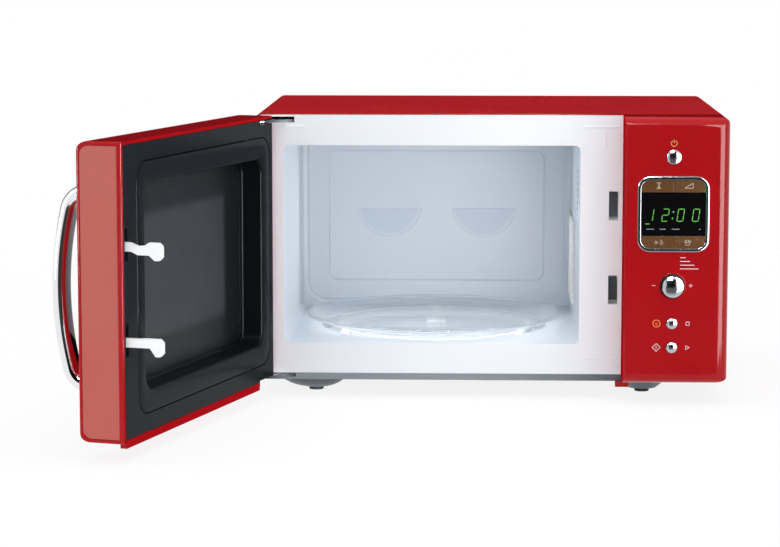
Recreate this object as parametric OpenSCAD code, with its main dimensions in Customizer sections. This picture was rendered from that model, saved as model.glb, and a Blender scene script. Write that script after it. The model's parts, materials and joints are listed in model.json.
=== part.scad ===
// Compact microwave oven, shown with its door open.
// Millimetres, +Z up, front towards -Y. Zero height is the underside of the feet.

/* [Cabinet] */
// Width across the side walls
cabinet_w = 446; // [440:1:470]
// Height of the top above the table
cabinet_h = 270; // [268:1:285]
// Depth from the front frame to the rear edge
cabinet_d = 290; // [288:1:310]
// Thickness of the outer cover's sheet
cover_t = 1; // [0.8:0.1:1.4]
// Radius of the cover's long top edges
cover_r = 8; // [6:0.5:12]
// Height of the cover's lower edge above the table
cover_bottom = 20; // [18:0.5:21]
// Width of the lip along the cover's rear edge
cover_lip = 12; // [10:1:16]
// Thickness of the inner sheets
sheet_t = 1; // [0.8:0.1:1.2]
// Gap between neighbouring sheets that are screwed together
seam = 0.2; // [0.1:0.05:0.4]
// Height of the base plate's underside above the table
base_z = 15.8; // [14:0.2:17]
// Height of the base plate's side walls
base_wall_h = 14; // [10:1:20]
// Height of the front frame's lower edge above the table
frame_z = 22.2; // [21.5:0.1:24]
// Radius of the case screws' heads
screw_head_r = 4; // [3:0.25:5]
// Radius of the case screws' shanks
screw_r = 2; // [1.5:0.1:2.5]

/* [Feet] */
// Radius of each rubber foot
foot_r = 7; // [6:0.5:10]
// Height of each rubber foot below its dome
foot_h = 4; // [3:0.25:6]
// Radius of the dome pressed into the base plate at its top
dome_r = 28.5; // [24:0.5:32]
// Distance of the left feet from the left side
foot_left = 56; // [45:1:70]
// Distance of the right feet from the right side
foot_right = 75; // [60:1:90]
// Distance of the front feet from the front frame
foot_front = 40; // [34:1:50]
// Distance of the rear feet from the rear edge
foot_rear = 42; // [36:1:55]
// Radius of the peg that holds a foot in its dome
peg_r = 2.5; // [2:0.25:3.5]

/* [Cavity] */
// Width of the bay between the cavity and the right side
bay_w = 137.4; // [134:0.2:142]
// Distance of the cavity's ceiling below the cabinet's top
cavity_drop = 29.9; // [28:0.5:34]
// Distance of the cavity's rear wall from the cabinet's rear edge
cavity_rear = 26; // [24:0.5:30]
// Distance of the cavity from the left side
cavity_left = 27.8; // [24:1:30]
// Height of the cavity floor above the table
cavity_z = 50.8; // [49:0.5:54]
// Corner radius of the cavity's front opening
cavity_r = 5; // [3:0.5:8]
// Corner radius of the drawn rear pan
rear_pan_r = 20; // [15:1:25]
// Depth of the drawn rear pan
rear_pan_d = 7; // [5:1:8]
// Distance of the rear pan from the cavity's walls
rear_pan_inset = 6; // [4:1:8]
// Depth of the embossed panel in the rear pan
emboss_d = 3; // [2:0.5:4]
// Radius of the two round embosses
round_emboss_r = 34; // [28:1:36]
// Depth of the circular track in the floor
track_d = 9.8; // [9:0.2:10.5]
// Distance of the circular track's edge outside the tray's flat base
track_out = 4; // [3:0.5:6]
// Rows of vent holes in the right wall
vent_rows = 8; // [5:1:9]
// Spacing of the vent holes
vent_pitch = 6.1; // [5:0.1:6.5]
// Radius of each vent hole
vent_r = 1.6; // [1:0.1:2]

/* [Turntable] */
// Clearance between the tray's rim and the cavity's rear wall
tray_rear = 2; // [2:0.5:6]
// Clearance between the tray's rim and the plane of the front frame
tray_front = 7; // [4:0.5:9]
// Least clearance between the tray's rim and the cavity's side walls
tray_side = 6; // [4:0.5:12]
// Thickness of the tray's glass
tray_t = 3.5; // [3:0.25:4.5]
// Height of the tray's rim above its underside
tray_rim_h = 10; // [8:0.5:14]
// Width of the tray's sloping rim, seen from above
tray_rim_w = 19.5; // [18:0.5:22]
// Radius of each roller
roller_r = 5.9; // [5.5:0.1:6]
// Width of each roller
roller_w = 7; // [5:0.5:8]
// Distance of the roller ring's outer edge inside the tray's flat base
ring_in = 11; // [10:0.5:14]
// Width of the roller ring's section
ring_w = 4; // [3:0.5:6]
// Radius of the roller pins
roller_pin_r = 1.5; // [1.2:0.1:2]
// Radius of the turntable motor
turn_motor_r = 24.5; // [20:0.5:26]
// Height of the turntable motor
turn_motor_h = 15; // [12:0.5:18]
// Radius of the turntable motor's shaft
turn_shaft_r = 3; // [2.5:0.25:4]

/* [Door] */
// Angle that the door stands open
door_open = 106.5; // [90:0.5:110]
// Thickness of the door
door_t = 41.4; // [38:0.2:44]
// Gap between the closed door and the front frame
door_gap = 0.6; // [0.5:0.1:1]
// Gap between the closed door's free edge and the control panel
door_side_gap = 1.1; // [1:0.1:2]
// Height of the door's lower edge above the table
door_z = 16.6; // [15:0.2:17]
// Distance of the door's top below the cabinet's top
door_drop = 1; // [0.5:0.5:3]
// Wall of the door shell
shell_t = 3; // [2.5:0.25:3.5]
// Radius of the door's front edges
door_r = 11; // [8:1:13]
// Distance of the hinge axis from the left side
hinge_in = 6.5; // [6:0.25:7]
// Distance of the hinge axis from the front frame
hinge_out = 12; // [12:0.25:14]
// Radius of the hinge pins
hinge_pin_r = 3; // [2.5:0.25:3.5]
// Thickness of the hinge brackets
hinge_t = 2.5; // [2:0.25:3]
// Height of the lip along the door's lower inner edge
chin_h = 3.9; // [2:0.1:5]
// Distance that the lip ends short of the free edge, where the panel's tab stands
chin_end = 5.4; // [4:0.2:7]
// Distance of the outer window from the door's hinged edge
window_left = 30; // [28:1:36]
// Distance of the outer window from the door's free edge
window_right = 53.5; // [50:0.5:60]
// Height of the window in the door's outer face
window_h = 164; // [150:1:170]
// Depth of the well in front of the screen
well_d = 19; // [15:1:21]
// Width of the groove around the choke cover
groove = 0.7; // [0.5:0.1:1.2]

/* [Handle] */
// Distance of the handle's ends from the door's lower and upper edges
handle_end = 41.2; // [38:0.2:52]
// Distance that the handle stands off the door
handle_out = 33; // [28:1:38]
// Width of the handle
handle_w = 20; // [16:1:24]
// Thickness of the handle
handle_t = 12; // [10:0.5:13]
// Distance of the handle's centre line from the door's free edge
handle_in = 28; // [25:1:34]

/* [Latch] */
// Reach of the hooks past the door's inner face
hook_reach = 33; // [28:1:33]
// Thickness of the hooks
hook_t = 4.4; // [3.5:0.1:4.5]
// Height of the hook arms
arm_h = 8; // [6:0.5:9]
// Drop of the hook heads below the arms
hook_drop = 7; // [5:0.5:8]
// Height of the lower hook arm above the table
low_hook_z = 98; // [97:1:100]
// Distance between the two hooks
hook_step = 80; // [78:1:82]
// Lift of the latch
latch_lift = 7; // [5:0.5:7]

/* [Control panel] */
// Width of the control panel
panel_w = 97.4; // [96:0.2:98]
// Depth that the panel stands in front of the frame
panel_d = 42; // [40:0.5:44]
// Wall of the control panel
panel_t = 2.5; // [2:0.25:3]
// Distance of the controls' centre line from the panel's left edge
control_in = 45; // [44:0.5:46]
// Distance of the on button's centre below the cabinet's top
on_drop = 36.8; // [34:0.2:38]
// Radius of the on button
on_r = 6.8; // [5.5:0.1:7.5]
// Height of the dial's centre above the middle between bezel and stop button
dial_up = 1.55; // [-1:0.05:3]
// Radius of the dial
dial_r = 10; // [8:0.5:11]
// Height of the stop button's centre
stop_z = 77.4; // [76:0.2:79]
// Height of the start button's centre
start_z = 54.8; // [54:0.2:58]
// Radius of the stop and start buttons
button_r = 5.2; // [4.5:0.1:6]
// Travel of the buttons and keys
press = 1.2; // [0.8:0.1:1.5]
// Width of the display bezel
bezel_w = 67; // [65:0.5:69]
// Height of the display bezel
bezel_h = 71; // [69:0.5:72]
// Distance of the display's centre below the cabinet's top
bezel_drop = 90; // [88:0.5:91]
// Width of the bezel's rim
bezel_rim = 3.5; // [3:0.25:4]
// Height of the strips of keys
strip_h = 11.6; // [10:0.2:12]
// Height of the circuit board above the cover's lower edge
board_up = 18; // [16:1:20]

/* [Clearances] */
// Clearance around buttons, keys and the latch
slip = 0.3; // [0.25:0.05:0.5]
// Radial clearance of shafts and pins in their bores
running = 0.05; // [0.02:0.01:0.08]

/* [Power parts] */
// Length of the transformer core
core_l = 105; // [95:1:106]
// Width of the transformer core's stack
core_w = 60; // [50:1:62]
// Height of the transformer core
core_h = 84; // [80:1:88]
// Width of the capacitor
can_w = 52; // [48:1:54]
// Thickness of the capacitor
can_t = 32; // [28:1:34]
// Length of the capacitor
can_l = 88; // [80:1:90]
// Depth of the waveguide
guide_d = 40; // [36:1:42]
// Height of the magnetron's yoke
yoke_h = 90; // [80:1:92]
// Width of the magnetron's yoke
yoke_w = 76; // [70:1:78]
// Depth of the magnetron's yoke
yoke_d = 60; // [54:1:62]
// Size of the fan shroud
shroud = 110; // [100:1:112]
// Height of the fan's centre below the cabinet's top
fan_drop = 80; // [72:1:84]
// Thickness of the fan motor's stack
fan_stack = 12; // [10:0.5:14]
// Width of the fan motor's stack
fan_motor_w = 62; // [56:1:66]
// Height of the fan motor's stack
fan_motor_h = 52; // [46:1:56]
// Width of the fan motor's coil
fan_coil_w = 36; // [30:1:40]
// Depth of the fan shroud
shroud_d = 26; // [24:0.5:30]
// Radius of the fan's blades
fan_r = 44; // [38:1:45]
// Radius of the fan shaft
fan_shaft_r = 1.5; // [1.2:0.1:2]

/* [Hidden] */
$fn = 64;

// cabinet
half_w = cabinet_w / 2;
inner_x = half_w - cover_t - seam;
inner_top = cabinet_h - cover_t - seam;
rear_y = cabinet_d - cover_t - seam - sheet_t;
floor_z = base_z + sheet_t;
cav_x0 = -half_w + cavity_left;
cav_x1 = half_w - bay_w;
cavity_w = cav_x1 - cav_x0;
cav_cx = (cav_x0 + cav_x1) / 2;
cav_z1 = cabinet_h - cavity_drop;
cavity_d = cabinet_d - cavity_rear;
track_z = cavity_z - track_d;
bay_x = cav_x1 + sheet_t;
panel_x = half_w - panel_w;
bay_cx = (bay_x + half_w) / 2;
feet_x = [-half_w + foot_left, half_w - foot_right];
feet_y = [foot_front, cabinet_d - foot_rear];
lip_screws = [
    for (z = [60, cabinet_h / 2 + 15, cabinet_h - 35], s = [-1, 1]) [s * (half_w - cover_lip / 2), z],
    for (x = [-120, 0, 120]) [x, cabinet_h - cover_lip / 2]
];

// turntable
tray_r = min(cavity_d - tray_front - tray_rear, cavity_w - 2 * tray_side) / 2;
tray_y = cavity_d - tray_rear - tray_r;
tray_base_r = tray_r - tray_rim_w;
ring_r = tray_base_r - ring_in;
track_r = tray_base_r + track_out;
roller_play = 0.1;
tray_z = track_z + 2 * roller_r + 2 * roller_play;
roller_z = track_z + roller_r + roller_play;

// hinge and door, with the door closed
hinge_x = -half_w + hinge_in;
hinge_y = -hinge_out;
door_x0 = -half_w;
door_x1 = panel_x - door_side_gap;
door_z1 = cabinet_h - door_drop;
door_back = -door_gap;
door_front = door_back - door_t;
face_t = 2.5;
face_back = door_back - face_t;
well_x0 = door_x0 + 31;
well_x1 = door_x1 - 47.5;
well_z0 = door_z + 38.4;
well_z1 = door_z1 - 39;
choke_x0 = door_x0 + 12;
choke_x1 = door_x1 - 30.5;
choke_z0 = door_z + 18.4;
choke_z1 = door_z1 - 18.5;
film_y = face_back - well_d;
film_t = 1;
screen_y = film_y - film_t;
handle_l = door_z1 - door_z - 2 * handle_end;
handle_x = door_x1 - handle_in;
handle_z = (door_z + door_z1) / 2;
hinge_low_z = door_z + 2;
hinge_top_z = door_z1 - 7;
notch_gap = 0.4;
notch_w = 38;
notch_front = hinge_y - 7.5;

// latch, with the door closed
hook_x = panel_x - 9.8;
hook_z = [low_hook_z, low_hook_z + hook_step];
bar_y = door_back - 19;
bar_t = 7;
slot_x0 = hook_x - hook_t / 2 - 0.7;
slot_x1 = hook_x + hook_t / 2 + 3.6;
slot_z0 = -hook_drop - 1.2;
slot_z1 = arm_h + latch_lift + 4;

// control panel
panel_y = -panel_d;
tab_z1 = door_z - 0.4;
tab_h = 4.8;
panel_in = panel_y + panel_t;
control_x = panel_x + control_in;
on_z = cabinet_h - on_drop;
bezel_z = cabinet_h - bezel_drop;
bezel_x0 = control_x - bezel_w / 2;
bezel_x1 = control_x + bezel_w / 2;
bezel_z0 = bezel_z - bezel_h / 2;
bezel_z1 = bezel_z + bezel_h / 2;
bezel_r = 12;
dial_z = (bezel_z0 + stop_z) / 2 + dial_up;
board_y = panel_in + 24.5;
board_t = 1.6;
board_x0 = panel_x + 5.4;
board_x1 = half_w - 7;
board_z0 = cover_bottom + board_up;
board_z1 = cabinet_h - 15;
board_holes = [
    for (x = [board_x0 + 5, board_x1 - 5], z = [board_z0 + 5, board_z1 - 5]) [x, z]
];
tact_h = 4.5;
stem_end = board_y - tact_h - press - slip;
key_dx = bezel_w / 4 - bezel_rim / 2;
key_dz = bezel_h / 2 - bezel_rim - strip_h / 2;

// power parts
fan_x = half_w - shroud / 2 - 8;
fan_z = cabinet_h - fan_drop;
motor_y = rear_y - shroud_d - fan_stack - 4;
magnet_x = bay_x + guide_d;
magnet_y = motor_y - 12.8 - yoke_w / 2;
magnet_z = fan_z - 4;
guide_y0 = magnet_y - 35;
guide_y1 = magnet_y + 55;
guide_z0 = 75;
guide_z1 = magnet_z + 29;
lamp_y = 64;
lamp_z = cav_z1 - 51.1;

// The frame's origin is the centre of the whole footprint with the door open.
open_left = hinge_x - (door_x1 - handle_in - hinge_x) * -cos(door_open)
    - (-door_front + handle_out + hinge_y) * sin(door_open);
open_front = hinge_y - (door_x1 - hinge_x) * sin(door_open)
    + (hinge_y - door_back) * -cos(door_open);
origin_x = (open_left + half_w) / 2;
origin_y = (open_front + cabinet_d) / 2;

// Puts a piece of the cabinet into the part's frame.
module place() {
    translate([-origin_x, -origin_y, 0]) children();
}

// Swings a piece that is drawn on the closed door to the open door.
module on_door() {
    place()
        translate([hinge_x, hinge_y, 0])
            rotate([0, 0, -door_open])
                translate([-hinge_x, -hinge_y, 0]) children();
}

// Extrudes a front view (x, z) backwards from y.
module along_y(y, depth) {
    translate([0, y + depth, 0]) rotate([90, 0, 0]) linear_extrude(depth) children();
}

// Extrudes a side view (y, z) to the right from x.
module along_x(x, width) {
    translate([x, 0, 0]) rotate([90, 0, 90]) linear_extrude(width) children();
}

// Rectangle with a radius for each corner: lower left, lower right, upper right, upper left.
module rounded4(x0, y0, x1, y1, r) {
    polygon([
        [x0, y0 + r[0]], [x0 + r[0], y0], [x1 - r[1], y0], [x1, y0 + r[1]],
        [x1, y1 - r[2]], [x1 - r[2], y1], [x0 + r[3], y1], [x0, y1 - r[3]]
    ]);
    translate([x0 + r[0], y0 + r[0]]) circle(r[0]);
    translate([x1 - r[1], y0 + r[1]]) circle(r[1]);
    translate([x1 - r[2], y1 - r[2]]) circle(r[2]);
    translate([x0 + r[3], y1 - r[3]]) circle(r[3]);
}

module rounded(x0, y0, x1, y1, r) {
    rounded4(x0, y0, x1, y1, [r, r, r, r]);
}

module box(x0, y0, z0, x1, y1, z1) {
    translate([x0, y0, z0]) cube([x1 - x0, y1 - y0, z1 - z0]);
}

// Round bar along Y.
module rod_y(x, y, z, r, l) {
    translate([x, y, z]) rotate([-90, 0, 0]) cylinder(r = r, h = l);
}

// Round bar along X.
module rod_x(x, y, z, r, l) {
    translate([x, y, z]) rotate([0, 90, 0]) cylinder(r = r, h = l);
}

// ---------------------------------------------------------------- cabinet

module cover_section(inset) {
    rounded4(-half_w + inset, cover_bottom - 20, half_w - inset, cabinet_h - inset,
        [0.5, 0.5, cover_r - inset, cover_r - inset]);
}

module outer_cover() color("firebrick") place() difference() {
    intersection() {
        along_y(0, cabinet_d) cover_section(0);
        box(-half_w, 0, cover_bottom, half_w, cabinet_d, cabinet_h);
    }
    along_y(-1, cabinet_d - cover_t + 1) cover_section(cover_t);
    along_y(cabinet_d - cover_t - 1, cover_t + 2)
        rounded4(-half_w + cover_lip, cover_bottom - 20, half_w - cover_lip,
            cabinet_h - cover_lip, [0.5, 0.5, 3, 3]);
    for (p = lip_screws) rod_y(p[0], cabinet_d - 3, p[1], screw_r + 0.1, 5);
}

// Cone of a dome: radius at the plate and at the foot.
module dome(grow, z0, z1) {
    slope = (dome_r - foot_r * 2) / (base_z - foot_h);
    translate([0, 0, z0])
        cylinder(r1 = foot_r * 2 + (z0 - foot_h) * slope + grow,
            r2 = foot_r * 2 + (z1 - foot_h) * slope + grow, h = z1 - z0);
}

module at_feet() {
    for (x = feet_x, y = feet_y) translate([x, y, 0]) children();
}

module base_plate() color("slategray") place() difference() {
    union() {
        box(-inner_x, seam, base_z, inner_x, rear_y, floor_z);
        box(-inner_x, seam, base_z, inner_x, seam + sheet_t, frame_z - seam);
        box(-inner_x, rear_y - sheet_t, base_z, inner_x, rear_y, base_z + base_wall_h);
        for (x = [-inner_x, inner_x - sheet_t])
            box(x, sheet_t + seam, base_z, x + sheet_t, rear_y, base_z + base_wall_h);
        at_feet() dome(0, foot_h, base_z + 0.5);
    }
    at_feet() dome(-sheet_t, foot_h + sheet_t, floor_z + 1);
    at_feet() cylinder(r = peg_r + 0.1, h = base_z);
    for (i = [0 : 7]) rounded_slot(bay_cx - 32 + i * 9, core_y0 + core_l + 32);
    box(hinge_x + 6.2, -1, hinge_low_z - notch_gap, hinge_x + 32, 3,
        hinge_low_z + hinge_t + notch_gap);
}

// Upright slot through the base plate for cooling air.
module rounded_slot(x, y) {
    translate([x, y, base_z - 1]) linear_extrude(sheet_t + 2) rounded(0, 0, 4, 40, 2);
}

module rubber_feet() color("black") place() at_feet() {
    cylinder(r = foot_r, h = foot_h);
    cylinder(r = peg_r, h = foot_h + sheet_t + 1);
    translate([0, 0, foot_h + sheet_t]) cylinder(r1 = peg_r + 1.2, r2 = peg_r, h = 2.5);
}

filter_w = 80;
filter_h = 48;
inlet_x = half_w - 25;
inlet_z = base_z + base_wall_h + 30.2;
filter_x = inlet_x - 5.4 - filter_w;
filter_z = fan_z - shroud / 2 - filter_h - 19;

module back_plate() color("lightgray") place() difference() {
    along_y(rear_y, sheet_t)
        rounded4(-inner_x, floor_z, inner_x, inner_top, [0.5, 0.5, cover_r - 1.2, cover_r - 1.2]);
    for (p = lip_screws) rod_y(p[0], rear_y - 1, p[1], screw_r + 0.1, 4);
    along_y(rear_y - 1, sheet_t + 2) intersection() {
        translate([fan_x, fan_z]) circle(fan_r);
        for (i = [-7 : 7], j = [-2 : 2]) translate([fan_x + i * 6, fan_z + j * 19])
            rounded(-1.6, -8, 1.6, 8, 1.5);
    }
    for (i = [0 : 8], j = [0, 1])
        along_y(rear_y - 1, sheet_t + 2)
            translate([-half_w + 36 + i * 8, 190 + j * 28]) rounded(-1.8, -10, 1.8, 10, 1.7);
    rod_y(inlet_x, rear_y - 1, inlet_z, inlet_hole_r, 4);
}

inlet_hole_r = 8;

module cable_inlet() color("black") place() difference() {
    union() {
        rod_y(inlet_x, rear_y - 5, inlet_z, inlet_hole_r - 0.1, 8 + sheet_t);
        rod_y(inlet_x, rear_y + sheet_t, inlet_z, inlet_hole_r + 2, 2.5);
        rod_y(inlet_x, rear_y - 3, inlet_z, inlet_hole_r + 1.2, 3);
    }
    rod_y(inlet_x, rear_y - 6, inlet_z, 3.6, 14);
}

module case_screws() color("silver") place() for (p = lip_screws) {
    rod_y(p[0], rear_y - 5, p[1], screw_r, cabinet_d - rear_y + 5);
    difference() {
        rod_y(p[0], cabinet_d, p[1], screw_head_r, 2.4);
        box(p[0] - 3, cabinet_d + 1.4, p[1] - 0.5, p[0] + 3, cabinet_d + 3, p[1] + 0.5);
    }
}

frame_x1 = panel_x + 5;
crease_z = cabinet_h - 12.5;
crease_w = 0.8;

module front_frame() color("white") place() {
    difference() {
        union() {
            along_y(0, sheet_t)
                rounded4(-inner_x, frame_z, frame_x1, inner_top, [0.5, 0.5, 0.5, cover_r - 1.2]);
            box(-inner_x, 0, base_z + base_wall_h + seam, -inner_x + sheet_t, 10, inner_top - cover_r);
            box(frame_x1 - sheet_t, 0, frame_z, frame_x1, 10, inner_top);
            box(-inner_x + cover_r, 0, inner_top - sheet_t, frame_x1, 10, inner_top);
        }
        along_y(-1, sheet_t + 2) rounded(cav_x0, cavity_z, cav_x1, cav_z1, cavity_r);
        for (z = hook_z) box(slot_x0, -1, z + slot_z0, slot_x1, 3, z + slot_z1);
        box(hinge_x + 6.2, -1, hinge_top_z - notch_gap, hinge_x + 32, 3, hinge_top_z + 5);
        box(cav_x0, -0.1, crease_z, cav_x0 + 20, 0.3, crease_z + crease_w);
        for (z = [37, crease_z]) box(cav_x1 + 2, -0.1, z, cav_x1 + 36, 0.3, z + crease_w);
        box(cav_x1 + 22.7, -0.1, crease_z - 19.5, cav_x1 + 22.7 + crease_w, 0.3, crease_z - 2.5);
    }
}

// Hollow of the cavity, grown by a sheet's thickness for its outside.
module cavity_space(grow) {
    p = rear_pan_inset - grow;
    along_y(-1, cavity_d + 1 + grow)
        rounded(cav_x0 - grow, cavity_z - grow, cav_x1 + grow, cav_z1 + grow, cavity_r + grow);
    along_y(cavity_d - 1, rear_pan_d + 1 + grow)
        rounded(cav_x0 + p, cavity_z + p, cav_x1 - p, cav_z1 - p, rear_pan_r);
    along_y(cavity_d + rear_pan_d - 1, emboss_d + 1 + grow)
        rounded(cav_x0 + 28 - grow, cavity_z + 26 - grow, cav_x1 - 28 + grow,
            cav_z1 - 27 + grow, 9 + grow);
    for (s = [-1, 1]) intersection() {
        rod_y(cav_cx + s * cavity_w * 0.177, cavity_d, cavity_z + 106, round_emboss_r + grow,
            rear_pan_d + emboss_d + 2.5 + grow);
        box(cav_x0, 0, cavity_z, cav_x1, cabinet_d, cavity_z + 101.5 + grow);
    }
    translate([cav_cx, tray_y, track_z - grow]) cylinder(r = track_r + grow, h = track_d + 2);
}

mica_y0 = guide_y0 - 10;
mica_z0 = 69;
mica_l = 108;
mica_h = 83;

module cavity_liner() color("lightsteelblue") place() difference() {
    cavity_space(sheet_t);
    cavity_space(0);
    box(-half_w, -5, 0, half_w, sheet_t, cabinet_h);
    translate([cav_cx, tray_y, track_z - 3]) cylinder(r = turn_shaft_r + 1.5, h = 6);
    for (i = [0 : vent_rows - 1], j = [0 : 3])
        rod_x(cav_x1 - 2, lamp_y - 9 + j * vent_pitch, lamp_z - 21.4 + i * vent_pitch, vent_r, 5);
    box(cav_x1 - 1, guide_y0 + 8, mica_z0 + 8, cav_x1 + 3, guide_y1 - 8, mica_z0 + mica_h - 10);
}

module waveguide_cover() color("tan") place() difference() {
    box(cav_x1 - 3, mica_y0, mica_z0, cav_x1, mica_y0 + mica_l, mica_z0 + mica_h);
    box(cav_x1 - 2.2, mica_y0 + 5, mica_z0 + 5, cav_x1 + 1, mica_y0 + mica_l - 5,
        mica_z0 + mica_h - 5);
}

module waveguide() color("gainsboro") place() difference() {
    box(bay_x, guide_y0, guide_z0, bay_x + guide_d, guide_y1, guide_z1);
    box(bay_x - 1, guide_y0 + 1.2, guide_z0 + 1.2, bay_x + guide_d - 1.2, guide_y1 - 1.2,
        guide_z1 - 1.2);
    rod_x(bay_x, magnet_y, magnet_z, 10, guide_d + 5);
}

module magnetron() color("silver") place() {
    y0 = magnet_y - yoke_w / 2;
    y1 = magnet_y + yoke_w / 2;
    z0 = magnet_z - yoke_h / 2;
    z1 = magnet_z + yoke_h / 2;
    x1 = magnet_x + yoke_d;
    for (x = [magnet_x, x1 - 2]) box(x, y0, z0, x + 2, y1, z1);
    for (z = [z0, z1 - 2]) box(magnet_x, y0, z, x1, y1, z + 2);
    rod_x(magnet_x, magnet_y, magnet_z, 27, 13);
    rod_x(x1 - 13, magnet_y, magnet_z, 27, 12);
    rod_x(magnet_x, magnet_y, magnet_z, 19, yoke_d);
    for (i = [0 : 6])
        box(magnet_x + 17 + i * (yoke_d - 36) / 6, y0 + 4, z0 + 1,
            magnet_x + 18 + i * (yoke_d - 36) / 6, y1 - 4, z1 - 1);
    rod_x(magnet_x - 26, magnet_y, magnet_z, 7.5, 27);
    rod_x(magnet_x - 28, magnet_y, magnet_z, 5, 3);
    box(x1 - 0.5, magnet_y - 24, magnet_z - 26, x1 + 20, magnet_y + 24, magnet_z + 26);
    box(x1 + 8, magnet_y - 32, magnet_z - 10, x1 + 14, magnet_y - 23, magnet_z - 4);
    box(x1 + 8, magnet_y - 32, magnet_z + 4, x1 + 14, magnet_y - 23, magnet_z + 10);
}

core_x = bay_cx + 16;
core_y0 = 48;
core_z0 = floor_z + 2;
limb_z0 = core_z0 + core_h / 2 - 11;
limb_z1 = core_z0 + core_h / 2 + 11;

module transformer_core() color("dimgray") place() {
    difference() {
        box(core_x - core_w / 2, core_y0, core_z0, core_x + core_w / 2, core_y0 + core_l,
            core_z0 + core_h);
        for (z = [limb_z0 - 16, limb_z1])
            box(core_x - core_w, core_y0 + 16, z, core_x + core_w, core_y0 + core_l - 16, z + 16);
    }
    difference() {
        box(core_x - core_w / 2 - 6, core_y0 - 7, floor_z, core_x + core_w / 2 + 6,
            core_y0 + core_l + 7, core_z0);
        for (x = [core_x - core_w / 2, core_x + core_w / 2], y = [core_y0 - 3.5, core_y0 + core_l + 3.5])
            translate([x, y, floor_z - 1]) cylinder(r = 2.2, h = 5);
    }
}

// One winding around the core's middle limb.
module winding(y, length) {
    gap = 0.4;
    side = core_x - core_w / 2 - gap;
    difference() {
        along_y(y, length)
            rounded(side - 15, limb_z0 - 15.4, 2 * core_x - side + 15, limb_z1 + 15.4, 12);
        box(side, y - 1, limb_z0 - gap, 2 * core_x - side, y + length + 1, limb_z1 + gap);
    }
}

module transformer_windings() color("darkgoldenrod") place() {
    span = core_l - 32;
    winding(core_y0 + 16.5, span * 0.42);
    winding(core_y0 + 15.5 + span * 0.48, span * 0.52);
}

can_x = bay_cx + 20;
can_y = rear_y - shroud_d - 2 - can_t;
can_z1 = floor_z + can_l;
clamp_h = 16;
clamp_t = 1;
tab_t = 0.8;

// Oval section of the capacitor's upright can, seen from above.
module can_section(grow) {
    rounded(can_x - can_w / 2 - grow, can_y - grow, can_x + can_w / 2 + grow,
        can_y + can_t + grow, can_t / 2 + grow - 0.05);
}

module capacitor() color("lightgray") place() {
    translate([0, 0, floor_z]) linear_extrude(can_l) can_section(0);
    for (x = [can_x - 9, can_x + 9]) translate([x, can_y + can_t / 2, can_z1 - 0.5]) {
        cylinder(r = 4, h = 6.5);
        box(-3, -tab_t / 2, 5, 3, tab_t / 2, 14);
    }
}

module capacitor_clamp() color("silver") place() difference() {
    union() {
        translate([0, 0, floor_z]) linear_extrude(clamp_h) can_section(clamp_t);
        box(can_x - can_w / 2 - 14, can_y + can_t / 2 - 7, floor_z, can_x,
            can_y + can_t / 2 + 7, floor_z + clamp_t);
    }
    translate([0, 0, floor_z - 1]) linear_extrude(clamp_h + 2) can_section(running);
    translate([can_x - can_w / 2 - 8, can_y + can_t / 2, floor_z - 1]) cylinder(r = 2.2, h = 5);
}

module diode() color("black") place() translate([can_x + 9, can_y + can_t / 2 - tab_t / 2, can_z1]) {
    box(-4, -8, 6, 4, 0, 28);
    translate([0, -4, 27]) cylinder(r = 1, h = 8);
}

module fan_shroud() color("lightgray") place() {
    h = shroud / 2;
    difference() {
        box(fan_x - h, rear_y - shroud_d, fan_z - h, fan_x + h, rear_y, fan_z + h);
        rod_y(fan_x, rear_y - shroud_d - 4, fan_z, fan_r + 2, shroud_d + 14);
        for (s = [-1, 1], t = [-1, 1])
            rod_y(fan_x + s * (h - 7), rear_y - shroud_d - 4, fan_z + t * (h - 7), 2.1, shroud_d + 14);
    }
    for (s = [-1, 1], t = [-1, 1])
        box(fan_x + s * ear_x - ear_r, motor_y + fan_stack, fan_z + t * ear_z - ear_z1,
            fan_x + s * ear_x + ear_r, rear_y - shroud_d + 2, fan_z + t * ear_z + ear_z1);
}

// Ears that hold the fan motor on the shroud's posts.
ear_x = fan_motor_w / 2 - 4;
ear_r = 4;
ear_z = fan_motor_h / 2 + 16;
ear_z1 = 6;

// Laminated motor with its coil below the rotor.
module fan_motor() color("gray") place() {
    difference() {
        union() {
            box(fan_x - fan_motor_w / 2, motor_y, fan_z - fan_motor_h / 2,
                fan_x + fan_motor_w / 2, motor_y + fan_stack, fan_z + fan_motor_h / 2);
            for (s = [-1, 1])
                box(fan_x + s * ear_x - ear_r, motor_y, fan_z - ear_z - ear_z1,
                    fan_x + s * ear_x + ear_r, motor_y + fan_stack, fan_z + ear_z + ear_z1);
        }
        rod_y(fan_x, motor_y - 1, fan_z, fan_motor_bore, fan_stack + 2);
    }
    box(fan_x - fan_coil_w / 2, motor_y - 9, fan_z - fan_motor_h / 2 - 21,
        fan_x + fan_coil_w / 2, motor_y + fan_stack - 3, fan_z - fan_motor_h / 2);
    for (y = [motor_y - 3, motor_y + fan_stack]) difference() {
        union() {
            box(fan_x - 25, y, fan_z - 5, fan_x + 25, y + 3, fan_z + 5);
            rod_y(fan_x, y, fan_z, 7, 3);
        }
        rod_y(fan_x, y - 1, fan_z, fan_shaft_r + running, 5);
    }
}

fan_motor_bore = 15;

module fan_rotor() color("silver") place() {
    rod_y(fan_x, motor_y + 0.5, fan_z, fan_motor_bore - 0.5, fan_stack - 1);
    rod_y(fan_x, motor_y - 6, fan_z, fan_shaft_r, rear_y - motor_y + 2);
}

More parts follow.
